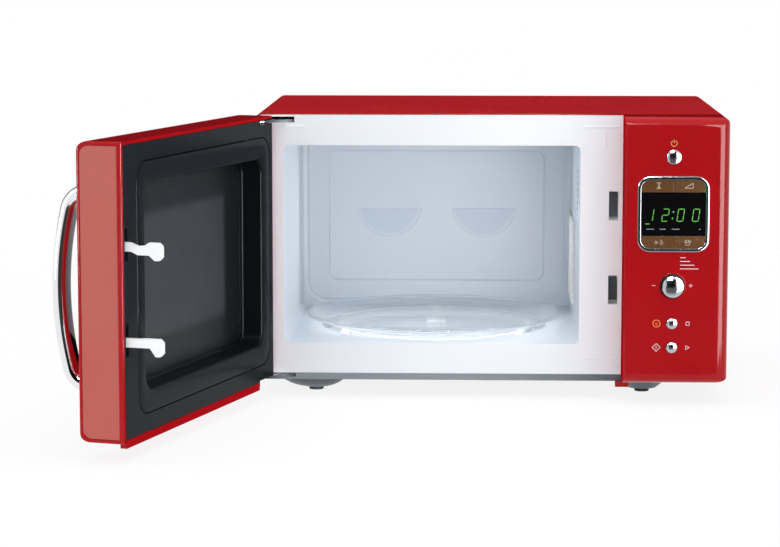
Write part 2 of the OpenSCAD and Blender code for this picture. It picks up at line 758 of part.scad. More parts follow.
module fan_blade() color("white") place() {
    difference() {
        union() {
            rod_y(fan_x, rear_y - 23, fan_z, 10, 18);
            intersection() {
                rod_y(fan_x, rear_y - 24, fan_z, fan_r, 20);
                for (i = [0 : 4])
                    translate([fan_x, rear_y - 14, fan_z]) rotate([0, i * 72, 0])
                        rotate([0, 0, 32]) translate([-13, -0.8, 5]) cube([26, 1.6, fan_r]);
            }
        }
        rod_y(fan_x, rear_y - 24, fan_z, fan_shaft_r, 20);
    }
}

lamp_x = bay_x + 13;
bulb_r = 9.5;
neck_r = 6.5;
neck_l = 18;

module lamp_bulb() color("lightyellow") place() {
    translate([lamp_x, lamp_y, lamp_z]) rotate([0, 90, 0]) rotate_extrude() {
        intersection() {
            circle(bulb_r);
            translate([0, -bulb_r]) square([bulb_r, 2 * bulb_r]);
        }
        square([neck_r, neck_l]);
    }
}

module lamp_holder() color("ivory") place() difference() {
    union() {
        box(lamp_x + 17, lamp_y - 10, lamp_z - 10, lamp_x + 37, lamp_y + 10, lamp_z + 10);
        box(bay_x, lamp_y + 10, lamp_z - 10, lamp_x + 37, lamp_y + 11.2, lamp_z + 10);
        box(bay_x, lamp_y + 10, lamp_z - 10, bay_x + 1.2, lamp_y + 26, lamp_z + 10);
    }
    rod_x(lamp_x + 10, lamp_y, lamp_z, neck_r + 0.1, neck_l);
    rod_x(bay_x - 1, lamp_y + 18, lamp_z, 2, 4);
}

module thermal_cutout() color("dimgray") place() translate([cav_cx + 95, 180, cav_z1 + sheet_t]) {
    box(-13, -7, 0, 13, 7, 1);
    cylinder(r = 7, h = 9);
    for (x = [-6, 3]) box(x, -1, 8, x + 3, 1, 15);
}

module noise_filter() color("green") place() {
    x1 = filter_x + filter_w;
    z1 = filter_z + filter_h;
    y0 = rear_y - 8;
    box(filter_x, y0, filter_z, x1, y0 + board_t, z1);
    for (x = [filter_x + 6, x1 - 6], z = [filter_z + 6, z1 - 6]) rod_y(x, y0, z, 3, 8);
    rod_y(filter_x + 24, y0 - 12, filter_z + filter_h / 2, 13, 12.5);
    box(x1 - 36, y0 - 14, filter_z + 8, x1 - 12, y0 + 0.5, filter_z + 22);
    box(x1 - 36, y0 - 9, z1 - 19, x1 - 10, y0 + 0.5, z1 - 11);
}

module turntable_motor() color("silver") place() translate([cav_cx, tray_y, track_z - sheet_t])
    difference() {
        union() {
            translate([0, 0, -turn_motor_h]) cylinder(r = turn_motor_r, h = turn_motor_h);
            for (s = [-1, 1]) translate([s * (turn_motor_r + 3), 0, -1]) cylinder(r = 5, h = 1);
            box(-8, -turn_motor_r - 9, -11, 8, -turn_motor_r + 2, -3);
        }
        translate([0, 0, -turn_motor_h + 3]) cylinder(r = turn_shaft_r + running, h = turn_motor_h);
    }

board_wall_x = slot_x1 + 1;
switch_y = door_back + hook_reach + 3.1;

module latch_board() color("whitesmoke") place() {
    z0 = hook_z[0] - 20;
    z1 = hook_z[1] + 30;
    difference() {
        box(board_wall_x, sheet_t, z0, board_wall_x + 2.4, switch_y + 15, z1);
        for (z = hook_z) rod_x(board_wall_x - 1, switch_y - 8, z + 18, 4, 5);
    }
    box(board_wall_x, sheet_t, z0, frame_x1 - sheet_t - 0.2, sheet_t + 2, z1);
    for (z = hook_z)
        box(slot_x0 - 1, 20, z - hook_drop - 4.6, board_wall_x + 0.1, 27, z - hook_drop - 0.6);
}

module door_switches() color("black") place()
    for (z = [hook_z[0] - 12, hook_z[0] + 30, hook_z[1] - 12]) {
        box(board_wall_x - 10.3, switch_y, z, board_wall_x, switch_y + 14, z + 28);
        box(board_wall_x - 7, switch_y - 1.6, z + 16, board_wall_x - 4, switch_y + 0.1, z + 19);
        for (i = [0 : 2])
            box(board_wall_x - 6, switch_y + 13.9, z + 3 + i * 9, board_wall_x - 5.4,
                switch_y + 18, z + 7 + i * 9);
    }

// Bracket arm from the hinge pin to the cabinet.
module hinge_arm(z) {
    translate([0, 0, z]) linear_extrude(hinge_t) {
        translate([hinge_x, hinge_y]) circle(6);
        polygon([
            [hinge_x - 4, hinge_y + 4], [hinge_x + 4, hinge_y - 4],
            [hinge_x + 30, sheet_t + seam + 1], [hinge_x + 10, sheet_t + seam + 1]
        ]);
    }
}

module hinge_tab(z0, z1) {
    difference() {
        box(hinge_x + 9, sheet_t + seam, z0, hinge_x + 31, sheet_t + seam + 2, z1);
        for (x = [hinge_x + 14, hinge_x + 26]) rod_y(x, sheet_t, (z0 + z1) / 2, 2, 4);
    }
}

module upper_hinge() color("silver") place() {
    hinge_arm(hinge_top_z);
    hinge_tab(cav_z1 + sheet_t + 1.4, hinge_top_z + hinge_t);
    translate([hinge_x, hinge_y, hinge_top_z]) cylinder(r = hinge_pin_r, h = hinge_t + 3.2);
}

module lower_hinge() color("silver") place() {
    hinge_arm(hinge_low_z);
    hinge_tab(hinge_low_z, cavity_z - sheet_t - 1.4);
    translate([hinge_x, hinge_y, hinge_low_z]) cylinder(r = hinge_pin_r, h = hinge_t + 6);
}

// ---------------------------------------------------------------- control panel

sweep_w = 15.4;
sweep_r = 27;
panel_r = 11;

// Body of the control panel, inset from its outside.
module panel_body(inset, back) {
    i = inset;
    x0 = panel_x + i;
    x1 = half_w - i;
    z0 = cover_bottom + i;
    z1 = cabinet_h - i;
    intersection() {
        along_y(panel_y + i, back - panel_y - i) difference() {
            rounded4(x0, z0, x1, z1, [0.5, 0.5, cover_r - i, 0.5]);
            difference() {
                translate([half_w - sweep_w, z0 - 1]) square([sweep_w + 1, 7.5]);
                translate([half_w - sweep_w, cover_bottom + sweep_r]) circle(sweep_r - i);
            }
        }
        along_x(x0 - 1, panel_w + 2)
            rounded4(panel_y + i, z0, back + 10, z1, [panel_r - i, 1, 1, panel_r - i]);
        translate([0, 0, z0 - 1]) linear_extrude(z1 - z0 + 2)
            rounded4(x0, panel_y + i, x1, back + 10, [max(3 - i, 0.5), panel_r - i, 1, 1]);
    }
}

module control_panel() color("firebrick") place() {
    difference() {
        panel_body(0, 0);
        panel_body(panel_t, 1);
        rod_y(control_x, panel_y - 1, on_z, on_r + slip, 5);
        for (z = [stop_z, start_z]) rod_y(control_x, panel_y - 1, z, button_r + slip, 5);
        rod_y(control_x, panel_y - 1, dial_z, dial_r + 1.3, 5);
        along_y(panel_y - 1, 5) rounded(bezel_x0 + 2, bezel_z0 + 2, bezel_x1 - 2, bezel_z1 - 2,
            bezel_r - 2);
    }
    for (p = board_holes) difference() {
        rod_y(p[0], panel_in - 0.1, p[1], 3.5, board_y - panel_in + 0.1);
        rod_y(p[0], board_y - 12, p[1], 1.2, 13);
    }
    box(panel_x + 0.5, -8, tab_z1 - 0.1, panel_x + 7, -seam, cover_bottom + 0.1);
    box(panel_x - chin_end, -8, tab_z1 - tab_h, panel_x + 7, -seam, tab_z1);
}

module display_bezel() color("silver") place() {
    difference() {
        union() {
            along_y(panel_y - 2, 2) rounded(bezel_x0, bezel_z0, bezel_x1, bezel_z1, bezel_r);
            along_y(panel_y - 0.1, panel_t + 2) rounded(bezel_x0 + 2.2, bezel_z0 + 2.2,
                bezel_x1 - 2.2, bezel_z1 - 2.2, bezel_r - 2.2);
        }
        along_y(panel_y - 3, panel_t + 6) rounded(bezel_x0 + bezel_rim, bezel_z0 + bezel_rim,
            bezel_x1 - bezel_rim, bezel_z1 - bezel_rim, bezel_r - bezel_rim);
    }
}

screen_h = bezel_h - 2 * bezel_rim - 2 * strip_h - 4 * slip;

module display_window() color("black") place()
    box(bezel_x0 + bezel_rim + 0.1, panel_y - 0.6, bezel_z - screen_h / 2,
        bezel_x1 - bezel_rim - 0.1, panel_y + 1.4, bezel_z + screen_h / 2);

module control_board() color("darkgreen") place() difference() {
    union() {
        box(board_x0, board_y, board_z0, board_x1, board_y + board_t, board_z1);
        box(bezel_x0 + 7, panel_y + 1.4, bezel_z - 18, bezel_x1 - 7, board_y + 0.1, bezel_z + 18);
        for (z = [on_z, stop_z, start_z]) tact_switch(control_x, z);
        for (s = [-1, 1], t = [-1, 1]) tact_switch(control_x + s * key_dx, bezel_z + t * key_dz);
        box(control_x - 6.2, board_y - 7, dial_z - 6.2, control_x + 6.2, board_y + 0.1, dial_z + 6.2);
        rod_y(control_x, board_y - 13, dial_z, encoder_r + 1.5, 7);
        for (z = [60, 85, 110])
            box(board_x0 + 12, board_y + board_t - 0.1, z, board_x0 + 28, board_y + 17, z + 20);
        box(board_x0 + 40, board_y + board_t - 0.1, 70, board_x0 + 72, board_y + 24, 100);
        box(board_x0 + 40, board_y + board_t - 0.1, board_z1 - 45, board_x0 + 60, board_y + 12,
            board_z1 - 33);
    }
    rod_y(control_x, board_y - 14, dial_z, encoder_r + running, 12);
    for (p = board_holes) rod_y(p[0], board_y - 1, p[1], 1.5, 4);
}

encoder_r = 3;

module tact_switch(x, z) {
    box(x - 3, board_y - 3.5, z - 3, x + 3, board_y + 0.1, z + 3);
    rod_y(x, board_y - tact_h, z, 1.7, 2);
}

module dial_cup() color("black") place() difference() {
    union() {
        rod_y(control_x, panel_y, dial_z, dial_r + 1.2, 7);
        rod_y(control_x, panel_in, dial_z, dial_r + 3, 1.2);
    }
    rod_y(control_x, panel_y - 1, dial_z, dial_r + 0.6, 6.8);
    rod_y(control_x, panel_y, dial_z, encoder_r + 0.6, 8);
}

module encoder_shaft() color("silver") place()
    rod_y(control_x, panel_y - 4, dial_z, encoder_r, board_y - panel_y + 1);

module dial_knob() color("silver") place() difference() {
    intersection() {
        rod_y(control_x, panel_y - 10, dial_z, dial_r, 15);
        translate([control_x, panel_y + 8, dial_z]) sphere(r = 18);
    }
    rod_y(control_x, panel_y - 4, dial_z, encoder_r, 12);
}

module push_button(z, r) {
    rod_y(control_x, panel_y - 3, z, r, panel_t + 3 + slip);
    rod_y(control_x, panel_in + slip, z, r + 1.4, 1.4);
    rod_y(control_x, panel_in + slip + 1, z, 2, stem_end - panel_in - slip - 1);
}

module on_button() color("silver") place() push_button(on_z, on_r);
module stop_button() color("silver") place() push_button(stop_z, button_r);
module start_button() color("silver") place() push_button(start_z, button_r);

// One of the four keys in the display's strips: side and row are -1 or 1.
module key(side, row) color("saddlebrown") place() {
    x0 = side < 0 ? bezel_x0 : control_x + slip / 2;
    z0 = row < 0 ? bezel_z0 : bezel_z1 - bezel_rim - strip_h;
    in = bezel_rim + slip;
    along_y(panel_y - 1, 3) intersection() {
        rounded(bezel_x0 + in, bezel_z0 + in, bezel_x1 - in, bezel_z1 - in, bezel_r - in);
        translate([x0, z0]) square([bezel_w / 2 - slip / 2, strip_h + bezel_rim]);
    }
    rod_y(control_x + side * key_dx, panel_y + 1.9, bezel_z + row * key_dz, 2,
        stem_end - panel_y - 1.9);
}

module clock_key() key(-1, 1);
module power_key() key(1, 1);
module defrost_key() key(-1, -1);
module auto_key() key(1, -1);

// ---------------------------------------------------------------- turntable

module drive_coupler() color("ivory") place() translate([cav_cx, tray_y, 0]) {
    translate([0, 0, track_z - sheet_t - turn_motor_h + 4])
        cylinder(r = turn_shaft_r, h = turn_motor_h + sheet_t);
    translate([0, 0, track_z + 2]) cylinder(r = 7, h = tray_z - track_z - 2);
    for (i = [0 : 2]) rotate([0, 0, i * 120]) translate([8, 0, track_z + 3])
        cylinder(r = 4, h = tray_z - track_z - 3);
}

module glass_tray() color("lightcyan", 0.5) place() translate([cav_cx, tray_y, tray_z]) {
    rotate_extrude() polygon([
        [0, 0], [tray_base_r, 0], [tray_r, tray_rim_h - 2.5], [tray_r, tray_rim_h],
        [tray_r - tray_t, tray_rim_h], [tray_base_r - 1, tray_t], [0, tray_t]
    ]);
    for (i = [0 : 2]) rotate([0, 0, i * 120 + 60]) box(9, -3, -4, 15, 3, 0.1);
}

module roller_ring() color("ivory") place() translate([cav_cx, tray_y, roller_z]) {
    rotate_extrude() translate([ring_r - ring_w, -2.5]) square([ring_w, 5]);
    for (i = [0 : 2]) rotate([0, 0, 90 + i * 120]) {
        rod_x(ring_r - 1, 0, 0, roller_pin_r, roller_w + 2 * slip + 2.5);
        rod_x(ring_r + roller_w + 2 * slip, 0, 0, roller_pin_r + 1.2, 1.5);
    }
}

// Roller number i on its pin.
module roller(i) color("white") place() translate([cav_cx, tray_y, roller_z])
    rotate([0, 0, 90 + i * 120]) difference() {
        rod_x(ring_r + slip, 0, 0, roller_r, roller_w);
        rod_x(ring_r, 0, 0, roller_pin_r + running, roller_w + 2);
    }

module roller_1() roller(0);
module roller_2() roller(1);
module roller_3() roller(2);

// ---------------------------------------------------------------- door, drawn closed

door_corner_r = 8;
edge_r = 3;
back_corner_r = 5;
window_x0 = door_x0 + window_left;
window_x1 = door_x1 - window_right;
window_cz = (door_z + door_z1) / 2;
rebate = 8;
boss_x = [door_x0 + 13, choke_x1 - 1.5];
boss_z = [door_z + 20.5, door_z1 - 20.5];
spring_x = hook_x - 2;
spring_y = bar_y - bar_t / 2;
spring_z0 = hook_z[1] + 20;
spring_z1 = spring_z0 + 24;
spring_r = 3.4;
wire_r = 0.45;

// Body of the door, inset from its outside, up to the plane at back.
module door_body(inset, back, back_r) {
    i = inset;
    c = door_corner_r - i;
    e = max(edge_r - i, 0.5);
    z0 = door_z + i;
    z1 = door_z1 - i;
    intersection() {
        along_y(door_front + i, back - door_front - i)
            rounded4(door_x0 + i, z0, door_x1 - i, z1, [c, e, e, c]);
        along_x(door_x0 - 1, door_x1 - door_x0 + 2)
            rounded4(door_front + i, z0, back + 10, z1, [door_r - i, 1, 1, door_r - i]);
        translate([0, 0, z0 - 1]) linear_extrude(z1 - z0 + 2)
            rounded4(door_x0 + i, door_front + i, door_x1 - i, back, [door_r - i, e, 0.4, back_r]);
    }
}

// Room for the hinge brackets in the door's corners.
module hinge_notches() {
    box(door_x0 - 1, notch_front, hinge_top_z - notch_gap, door_x0 + notch_w, 1,
        hinge_top_z + hinge_t + notch_gap);
    box(door_x0 - 1, notch_front, door_z - 10, door_x0 + notch_w, 1,
        hinge_low_z + hinge_t + notch_gap);
}

module shell_hollow() {
    door_body(shell_t, face_back - 6, 0.4);
    along_y(face_back - 7, 8)
        rounded(door_x0 + 2 * shell_t, door_z + 2 * shell_t, door_x1 - 2 * shell_t,
            door_z1 - 2 * shell_t, 2);
    along_y(face_back, face_t + 1)
        rounded(door_x0 + shell_t, door_z + shell_t, door_x1 - shell_t, door_z1 - shell_t, 2);
}

module door_shell() color("firebrick") on_door() difference() {
    union() {
        difference() {
            door_body(0, door_back, back_corner_r);
            shell_hollow();
            along_y(door_front - 1, shell_t + 2) rounded(window_x0, window_cz - window_h / 2,
                window_x1, window_cz + window_h / 2, 16);
        }
        box(door_x0 + notch_w + 1, door_back - 6, door_z - chin_h, door_x1 - chin_end, door_back,
            door_z + 1);
        for (x = boss_x, z = boss_z)
            rod_y(x, door_front + shell_t - 0.1, z, 4, screen_y - sheet_t - door_front - shell_t + 0.1);
        translate([hinge_x, hinge_y, hinge_low_z + hinge_t + notch_gap]) cylinder(r = 6, h = 9);
        translate([hinge_x, hinge_y, hinge_top_z + hinge_t + notch_gap])
            cylinder(r = 6, h = door_z1 - hinge_top_z - hinge_t - notch_gap - 1);
        latch_guides();
    }
    hinge_notches();
    for (z = [hinge_low_z, hinge_top_z + hinge_t - 6])
        translate([hinge_x, hinge_y, z]) cylinder(r = hinge_pin_r + running, h = hinge_t + 6.8);
    for (x = boss_x, z = boss_z) rod_y(x, screen_y - 12, z, 1.3, 13);
    for (s = [-1, 1]) rod_y(handle_x, door_front - 1, handle_z + s * foot_z, 2.2, shell_t + 2);
    along_x(door_x1 - 1.2, 2) rounded4(door_front + 3.5, door_z + 3.5, door_back - 4,
        door_z1 - 3.5, [8, 1, 1, 8]);
}

// Ribs behind the latch, beside it, and above its spring.
module latch_guides() {
    x1 = door_x1 - shell_t + 0.1;
    y0 = door_front + shell_t - 0.1;
    for (z = [hook_z[0] + 20, hook_z[1] - 24]) {
        box(hook_x - 12, y0, z, x1, bar_y - bar_t - slip, z + 6);
        box(hook_x + hook_t / 2 + slip, y0, z, x1, bar_y, z + 6);
    }
    box(hook_x - 12, y0, spring_z1, x1, bar_y + 1, spring_z1 + 3);
}

module edge_panel() color("indianred") on_door()
    along_x(door_x1 - 1.2, 0.9) rounded4(door_front + 3.7, door_z + 3.7, door_back - 4.2,
        door_z1 - 3.7, [7.8, 0.8, 0.8, 7.8]);

module door_frame() color("darkslategray") on_door() difference() {
    along_y(face_back, face_t) rounded(door_x0 + shell_t + 0.3, door_z + shell_t + 0.3,
        door_x1 - shell_t - 0.3, door_z1 - shell_t - 0.3, 2);
    along_y(face_back - 1, face_t + 2) rounded(choke_x0, choke_z0, choke_x1, choke_z1, 19);
    for (z = hook_z)
        box(slot_x0, face_back - 1, z + slot_z0, hook_x + hook_t / 2 + 0.7, 1, z + slot_z1);
    hinge_notches();
}

module choke_cover() color("darkslategray") on_door() difference() {
    union() {
        along_y(face_back, face_t) rounded(choke_x0 + groove, choke_z0 + groove,
            choke_x1 - groove, choke_z1 - groove, 19 - groove);
        along_y(film_y, well_d + 0.1) rounded(well_x0 - 1.8, well_z0 - 1.8, well_x1 + 1.8,
            well_z1 + 1.8, 15.8);
    }
    along_y(film_y - 1, well_d + face_t + 3) rounded(well_x0, well_z0, well_x1, well_z1, 14);
}

module window_film() color("black", 0.6) on_door()
    along_y(screen_y, film_t) rounded(well_x0 - 1.8, well_z0 - 1.8, well_x1 + 1.8,
        well_z1 + 1.8, 15.8);

// Steel panel with the perforated window and the walls of the choke channel.
module screen_panel() color("dimgray") on_door() {
    x0 = door_x0 + 8.5;
    x1 = choke_x1 + 4;
    z0 = door_z + 14.5;
    z1 = door_z1 - 14.5;
    difference() {
        along_y(screen_y - sheet_t, face_back - screen_y + sheet_t) rounded(x0, z0, x1, z1, 3);
        along_y(screen_y, well_d + 5) rounded(x0 + sheet_t, z0 + sheet_t, x1 - sheet_t,
            z1 - sheet_t, 2);
        for (x = boss_x, z = boss_z) rod_y(x, screen_y - 3, z, 1.7, 5);
    }
}

module front_glass() color("black") on_door()
    along_y(door_front + shell_t, 3) rounded(window_x0 - rebate, window_cz - window_h / 2 - rebate,
        window_x1 + rebate, window_cz + window_h / 2 + rebate, 16 + rebate);

// Points of an arc about [cx, cy] from angle a0 to a1.
function arc(cx, cy, r, a0, a1, n) =
    [for (i = [0 : n]) [cx + r * cos(a0 + (a1 - a0) * i / n), cy + r * sin(a0 + (a1 - a0) * i / n)]];

bow_r = 25;
bow_half = handle_l / 2 + 3;
bow_end = bow_half - bow_r;
// The long middle arc meets both end arcs without a corner.
bow_drop = (bow_end * bow_end - pow(handle_out - bow_r, 2)) / (2 * (handle_out - bow_r));
bow_mid_r = handle_out + bow_drop;
bow_turn = atan2(bow_drop, bow_end);
foot_z = bow_half - handle_t / 2;

// Outer (inset 0) or inner edge of the handle's bow, from the lower to the upper end.
function bow(inset) = concat(
    arc(-bow_end, 0, bow_r - inset, 180, 180 - bow_turn, 10),
    arc(0, -bow_drop, bow_mid_r - inset, 180 - bow_turn, bow_turn, 24),
    arc(bow_end, 0, bow_r - inset, bow_turn, 0, 10)
);

module handle() color("silver") on_door() difference() {
    translate([handle_x - handle_w / 2, door_front, handle_z]) rotate([90, 0, 90])
        linear_extrude(handle_w) rotate([0, 0, 90])
            polygon(concat(bow(0), [for (i = [len(bow(handle_t)) - 1 : -1 : 0]) bow(handle_t)[i]]));
    for (s = [-1, 1])
        rod_y(handle_x, door_front - 10, handle_z + s * foot_z, 2 + running, 11);
}

// Screws of the handle and of the steel panel.
module door_screws() color("silver") on_door() {
    for (s = [-1, 1]) {
        rod_y(handle_x, door_front - 9, handle_z + s * foot_z, 2, shell_t + 9.5);
        rod_y(handle_x, door_front + shell_t, handle_z + s * foot_z, 4, 2.5);
    }
    for (x = boss_x, z = boss_z) {
        rod_y(x, screen_y - 10, z, 1.3, 10.1);
        rod_y(x, screen_y, z, 3, 1.8);
    }
}

// Hook in side view: dip is how far its arm sags on the way to the head.
module hook(z, dip) {
    y1 = door_back + hook_reach;
    along_x(hook_x - hook_t / 2, hook_t) {
        polygon([
            [bar_y - 1, z], [door_back + 5, z], [door_back + 11, z - dip], [y1 - 12, z - dip],
            [y1 - 7, z - hook_drop], [y1 - 3, z - hook_drop], [y1, z - hook_drop + 3],
            [y1, z + arm_h - 3], [y1 - 3, z + arm_h], [y1 - 12, z + arm_h],
            [y1 - 16, z + arm_h - dip], [door_back + 11, z + arm_h - dip - 0.5],
            [door_back + 4, z + arm_h - 0.5], [bar_y - 1, z + arm_h - 0.5]
        ]);
    }
}

module latch() color("white") on_door() {
    box(hook_x - hook_t / 2 - 4, bar_y - bar_t, hook_z[0] - 10, hook_x + hook_t / 2, bar_y, spring_z0);
    hook(hook_z[0], 0);
    hook(hook_z[1], 2.7);
    translate([spring_x, spring_y, spring_z0 - 1]) cylinder(r = 1.8, h = 9);
}

// Coil spring above the latch: a round wire swept along a helix.
module latch_spring() color("silver") on_door() translate([spring_x, spring_y, 0]) {
    turns = 7;
    steps = turns * 16;
    sides = 8;
    z0 = spring_z0 + wire_r + 0.1;
    rise = (spring_z1 - spring_z0 - 2 * wire_r - 0.2) / steps;
    points = [
        for (i = [0 : steps], j = [0 : sides - 1])
            let (a = i * 360 / 16, b = j * 360 / sides, r = spring_r + wire_r * cos(b))
                [r * cos(a), r * sin(a), z0 + i * rise + wire_r * sin(b)]
    ];
    skin = [
        for (i = [0 : steps - 1], j = [0 : sides - 1])
            let (k = (j + 1) % sides)
                [i * sides + j, i * sides + k, (i + 1) * sides + k, (i + 1) * sides + j]
    ];
    ends = [
        [for (j = [sides - 1 : -1 : 0]) j],
        [for (j = [0 : sides - 1]) steps * sides + j]
    ];
    polyhedron(points, concat(skin, ends));
}

outer_cover();
base_plate();
back_plate();
front_frame();
cavity_liner();
rubber_feet();
case_screws();
cable_inlet();
waveguide();
waveguide_cover();
magnetron();
transformer_core();
transformer_windings();
capacitor();
capacitor_clamp();
diode();
fan_shroud();
fan_motor();
fan_rotor();
fan_blade();
lamp_bulb();
lamp_holder();
thermal_cutout();
noise_filter();
turntable_motor();
latch_board();
door_switches();
upper_hinge();
lower_hinge();
control_panel();
display_bezel();
display_window();
control_board();
dial_cup();
encoder_shaft();
dial_knob();
on_button();
stop_button();
start_button();
clock_key();
power_key();
defrost_key();
auto_key();
drive_coupler();
glass_tray();
roller_ring();
roller_1();
roller_2();
roller_3();
door_shell();
edge_panel();
door_frame();
choke_cover();
window_film();
screen_panel();
front_glass();
handle();
door_screws();
latch();
latch_spring();
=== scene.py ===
# Dresses the microwave oven's CAD frame: materials, detailed pieces, lamps and camera.
import json
import math

import bmesh
import bpy
from mathutils import Matrix, Vector

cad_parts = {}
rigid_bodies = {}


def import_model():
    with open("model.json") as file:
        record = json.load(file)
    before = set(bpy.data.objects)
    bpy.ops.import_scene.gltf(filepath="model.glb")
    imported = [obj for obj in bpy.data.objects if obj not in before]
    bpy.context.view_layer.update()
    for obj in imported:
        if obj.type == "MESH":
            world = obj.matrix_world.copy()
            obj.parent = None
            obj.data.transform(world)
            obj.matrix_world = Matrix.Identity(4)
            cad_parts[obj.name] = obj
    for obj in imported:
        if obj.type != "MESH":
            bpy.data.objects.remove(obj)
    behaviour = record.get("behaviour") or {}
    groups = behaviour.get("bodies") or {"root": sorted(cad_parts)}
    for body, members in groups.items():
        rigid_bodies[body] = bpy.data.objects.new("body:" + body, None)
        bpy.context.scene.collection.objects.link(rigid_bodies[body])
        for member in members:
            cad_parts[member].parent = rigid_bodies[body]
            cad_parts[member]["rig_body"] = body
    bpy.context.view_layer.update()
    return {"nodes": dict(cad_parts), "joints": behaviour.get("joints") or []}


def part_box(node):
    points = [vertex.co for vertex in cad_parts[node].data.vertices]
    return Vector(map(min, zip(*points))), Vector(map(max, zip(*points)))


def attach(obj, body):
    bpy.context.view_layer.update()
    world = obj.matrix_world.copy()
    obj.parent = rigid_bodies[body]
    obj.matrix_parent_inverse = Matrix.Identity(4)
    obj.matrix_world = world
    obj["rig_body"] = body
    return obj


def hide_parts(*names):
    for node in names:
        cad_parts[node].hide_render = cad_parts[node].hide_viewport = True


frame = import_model()
nodes = frame["nodes"]
cover_low, cover_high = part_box("outer_cover")
hinge_joint = next(j for j in frame["joints"] if j["name"] == "door_hinge")

MM = 0.001
# The cabinet's own axes: zero is the middle of its width, the front frame's plane and the table.
CENTRE_X = (cover_low.x + cover_high.x) / 2
FRONT_Y = cover_low.y
HINGE = Vector(hinge_joint["pos_m"])
OPEN_ANGLE = math.radians(hinge_joint["range_deg"][1])


def at(x, y, z):
    """A place given in millimetres in the cabinet's own axes."""
    return Vector((CENTRE_X + x * MM, FRONT_Y + y * MM, z * MM))


# Turns a piece made on the closed door to where the door stands open.
SWING = (Matrix.Translation(HINGE) @ Matrix.Rotation(-OPEN_ANGLE, 4, "Z")
         @ Matrix.Translation(-HINGE))


# ---------- colours and nodes


def colour(code):
    """An sRGB hex colour as linear red, green, blue and alpha."""
    out = []
    for i in (0, 2, 4):
        c = int(code[i:i + 2], 16) / 255
        out.append(c / 12.92 if c <= 0.04045 else ((c + 0.055) / 1.055) ** 2.4)
    return (*out, 1.0)


def feed(tree, node, inputs):
    """Gives a node's inputs their values or links. A node stands for its first output in use."""
    for key, value in inputs.items():
        if isinstance(value, bpy.types.Node):
            value = next(out for out in value.outputs if out.enabled)
        if isinstance(value, bpy.types.NodeSocket):
            tree.links.new(value, node.inputs[key])
        else:
            node.inputs[key].default_value = value


def add(tree, kind, *inputs, **settings):
    """Adds a node with its settings and its inputs, in their order or as one dictionary.

    kind may carry the node's operation after a colon.
    """
    kind, _, operation = kind.partition(":")
    made = tree.nodes.new("ShaderNode" + kind)
    if operation:
        made.operation = operation
    for name, value in settings.items():
        setattr(made, name, value)
    by_name = inputs and isinstance(inputs[0], dict)
    feed(tree, made, inputs[0] if by_name else dict(enumerate(inputs)))
    return made


# A MapRange node with this rises smoothly. Its inputs are a value, from low, high, to low, high.
SMOOTH = {"interpolation_type": "SMOOTHSTEP"}


def per_mm(size):
    """Scale of a texture whose features measure that many millimetres."""
    return 1.0 / (size * MM)


def blank(name):
    """A new material, its node tree and its shader."""
    material = bpy.data.materials.new(name)
    material.use_nodes = True
    return material, material.node_tree, material.node_tree.nodes["Principled BSDF"]


def finish(name, tones, patch, rough, smear, grain, relief, pattern=None, **shader_values):
    """A material with two close tones, uneven gloss and a fine relief.

    patch, smear and grain are the sizes in millimetres of the tone's patches, of the gloss's
    smears and of the relief, and relief is the relief's height in millimetres. A pattern
    function may replace the soft patches by the marks of a process.
    """
    material, tree, shader = blank(name)
    place = add(tree, "TexCoord").outputs["Object"]
    if pattern:
        spread = pattern(tree, place, patch)
    else:
        spread = add(tree, "TexNoise", {"Vector": place, "Scale": per_mm(patch), "Detail": 3.0,
                                        "Roughness": 0.6})
    tone = add(tree, "Mix", {0: spread, 6: colour(tones[0]), 7: colour(tones[1])},
               data_type="RGBA")
    smears = add(tree, "TexNoise", {"Vector": place, "Scale": per_mm(smear), "Detail": 4.0,
                                    "Roughness": 0.65})
    gloss = add(tree, "MapRange", smears, 0.3, 0.7, *rough)
    height = add(tree, "TexNoise", {"Vector": place, "Scale": per_mm(grain)})
    if pattern:
        height = add(tree, "Math:ADD", height, spread)
    bump = add(tree, "Bump", {"Height": height, "Strength": 1.0, "Distance": relief * MM})
    feed(tree, shader, {"Base Color": tone, "Roughness": gloss, "Normal": bump})
    feed(tree, shader, {key.replace("_", " "): value for key, value in shader_values.items()})
    return material


def spangles(tree, place, size):
    """Zinc crystals: cells of one size, each with its own grey."""
    cells = add(tree, "TexVoronoi", {"Vector": place, "Scale": per_mm(size)})
    return add(tree, "SeparateColor", cells.outputs["Color"])


def bands(direction, waviness):
    """Things laid side by side along one axis. A band is 2 pi times as wide as the size given."""
    def pattern(tree, place, size):
        wave_radians = 20
        return add(tree, "TexWave", {"Vector": place, "Scale": per_mm(size) / wave_radians,
                                     "Distortion": waviness, "Detail": 1.0},
                   bands_direction=direction).outputs["Fac"]
    return pattern


def tracks(tree, place, size):
    """Copper tracks under the solder resist: thin winding borders between islands."""
    cells = add(tree, "TexVoronoi", {"Vector": place, "Scale": per_mm(size), "Randomness": 0.8},
                feature="DISTANCE_TO_EDGE")
    return add(tree, "MapRange", cells, 0.06, 0.1)


def flakes(tree, place, size):
    """Pressed mica: flat overlapping flakes, seen as small cells."""
    return add(tree, "TexVoronoi", {"Vector": place, "Scale": per_mm(size)}, feature="SMOOTH_F1")


def matt_side(material, way, level):
    """Leaves the mould's spark finish on the sides that face one way."""
    tree = material.node_tree
    facing = add(tree, "VectorMath:DOT_PRODUCT", add(tree, "TexCoord").outputs["Normal"], way)
    gloss = add(tree, "MapRange", facing, 0.85, 0.96, level, 0.0)
    feed(tree, tree.nodes["Principled BSDF"], {"Specular IOR Level": gloss})
    return material


# Alkyd stoving paint on rolled steel: an even red, satin on the cover, with faint orange peel.
painted_steel = finish("red_stoved_paint", ("BC1A20", "B6181E"), 160, (0.24, 0.28), 80, 3.2,
                       0.0012, Specular_IOR_Level=0.2)
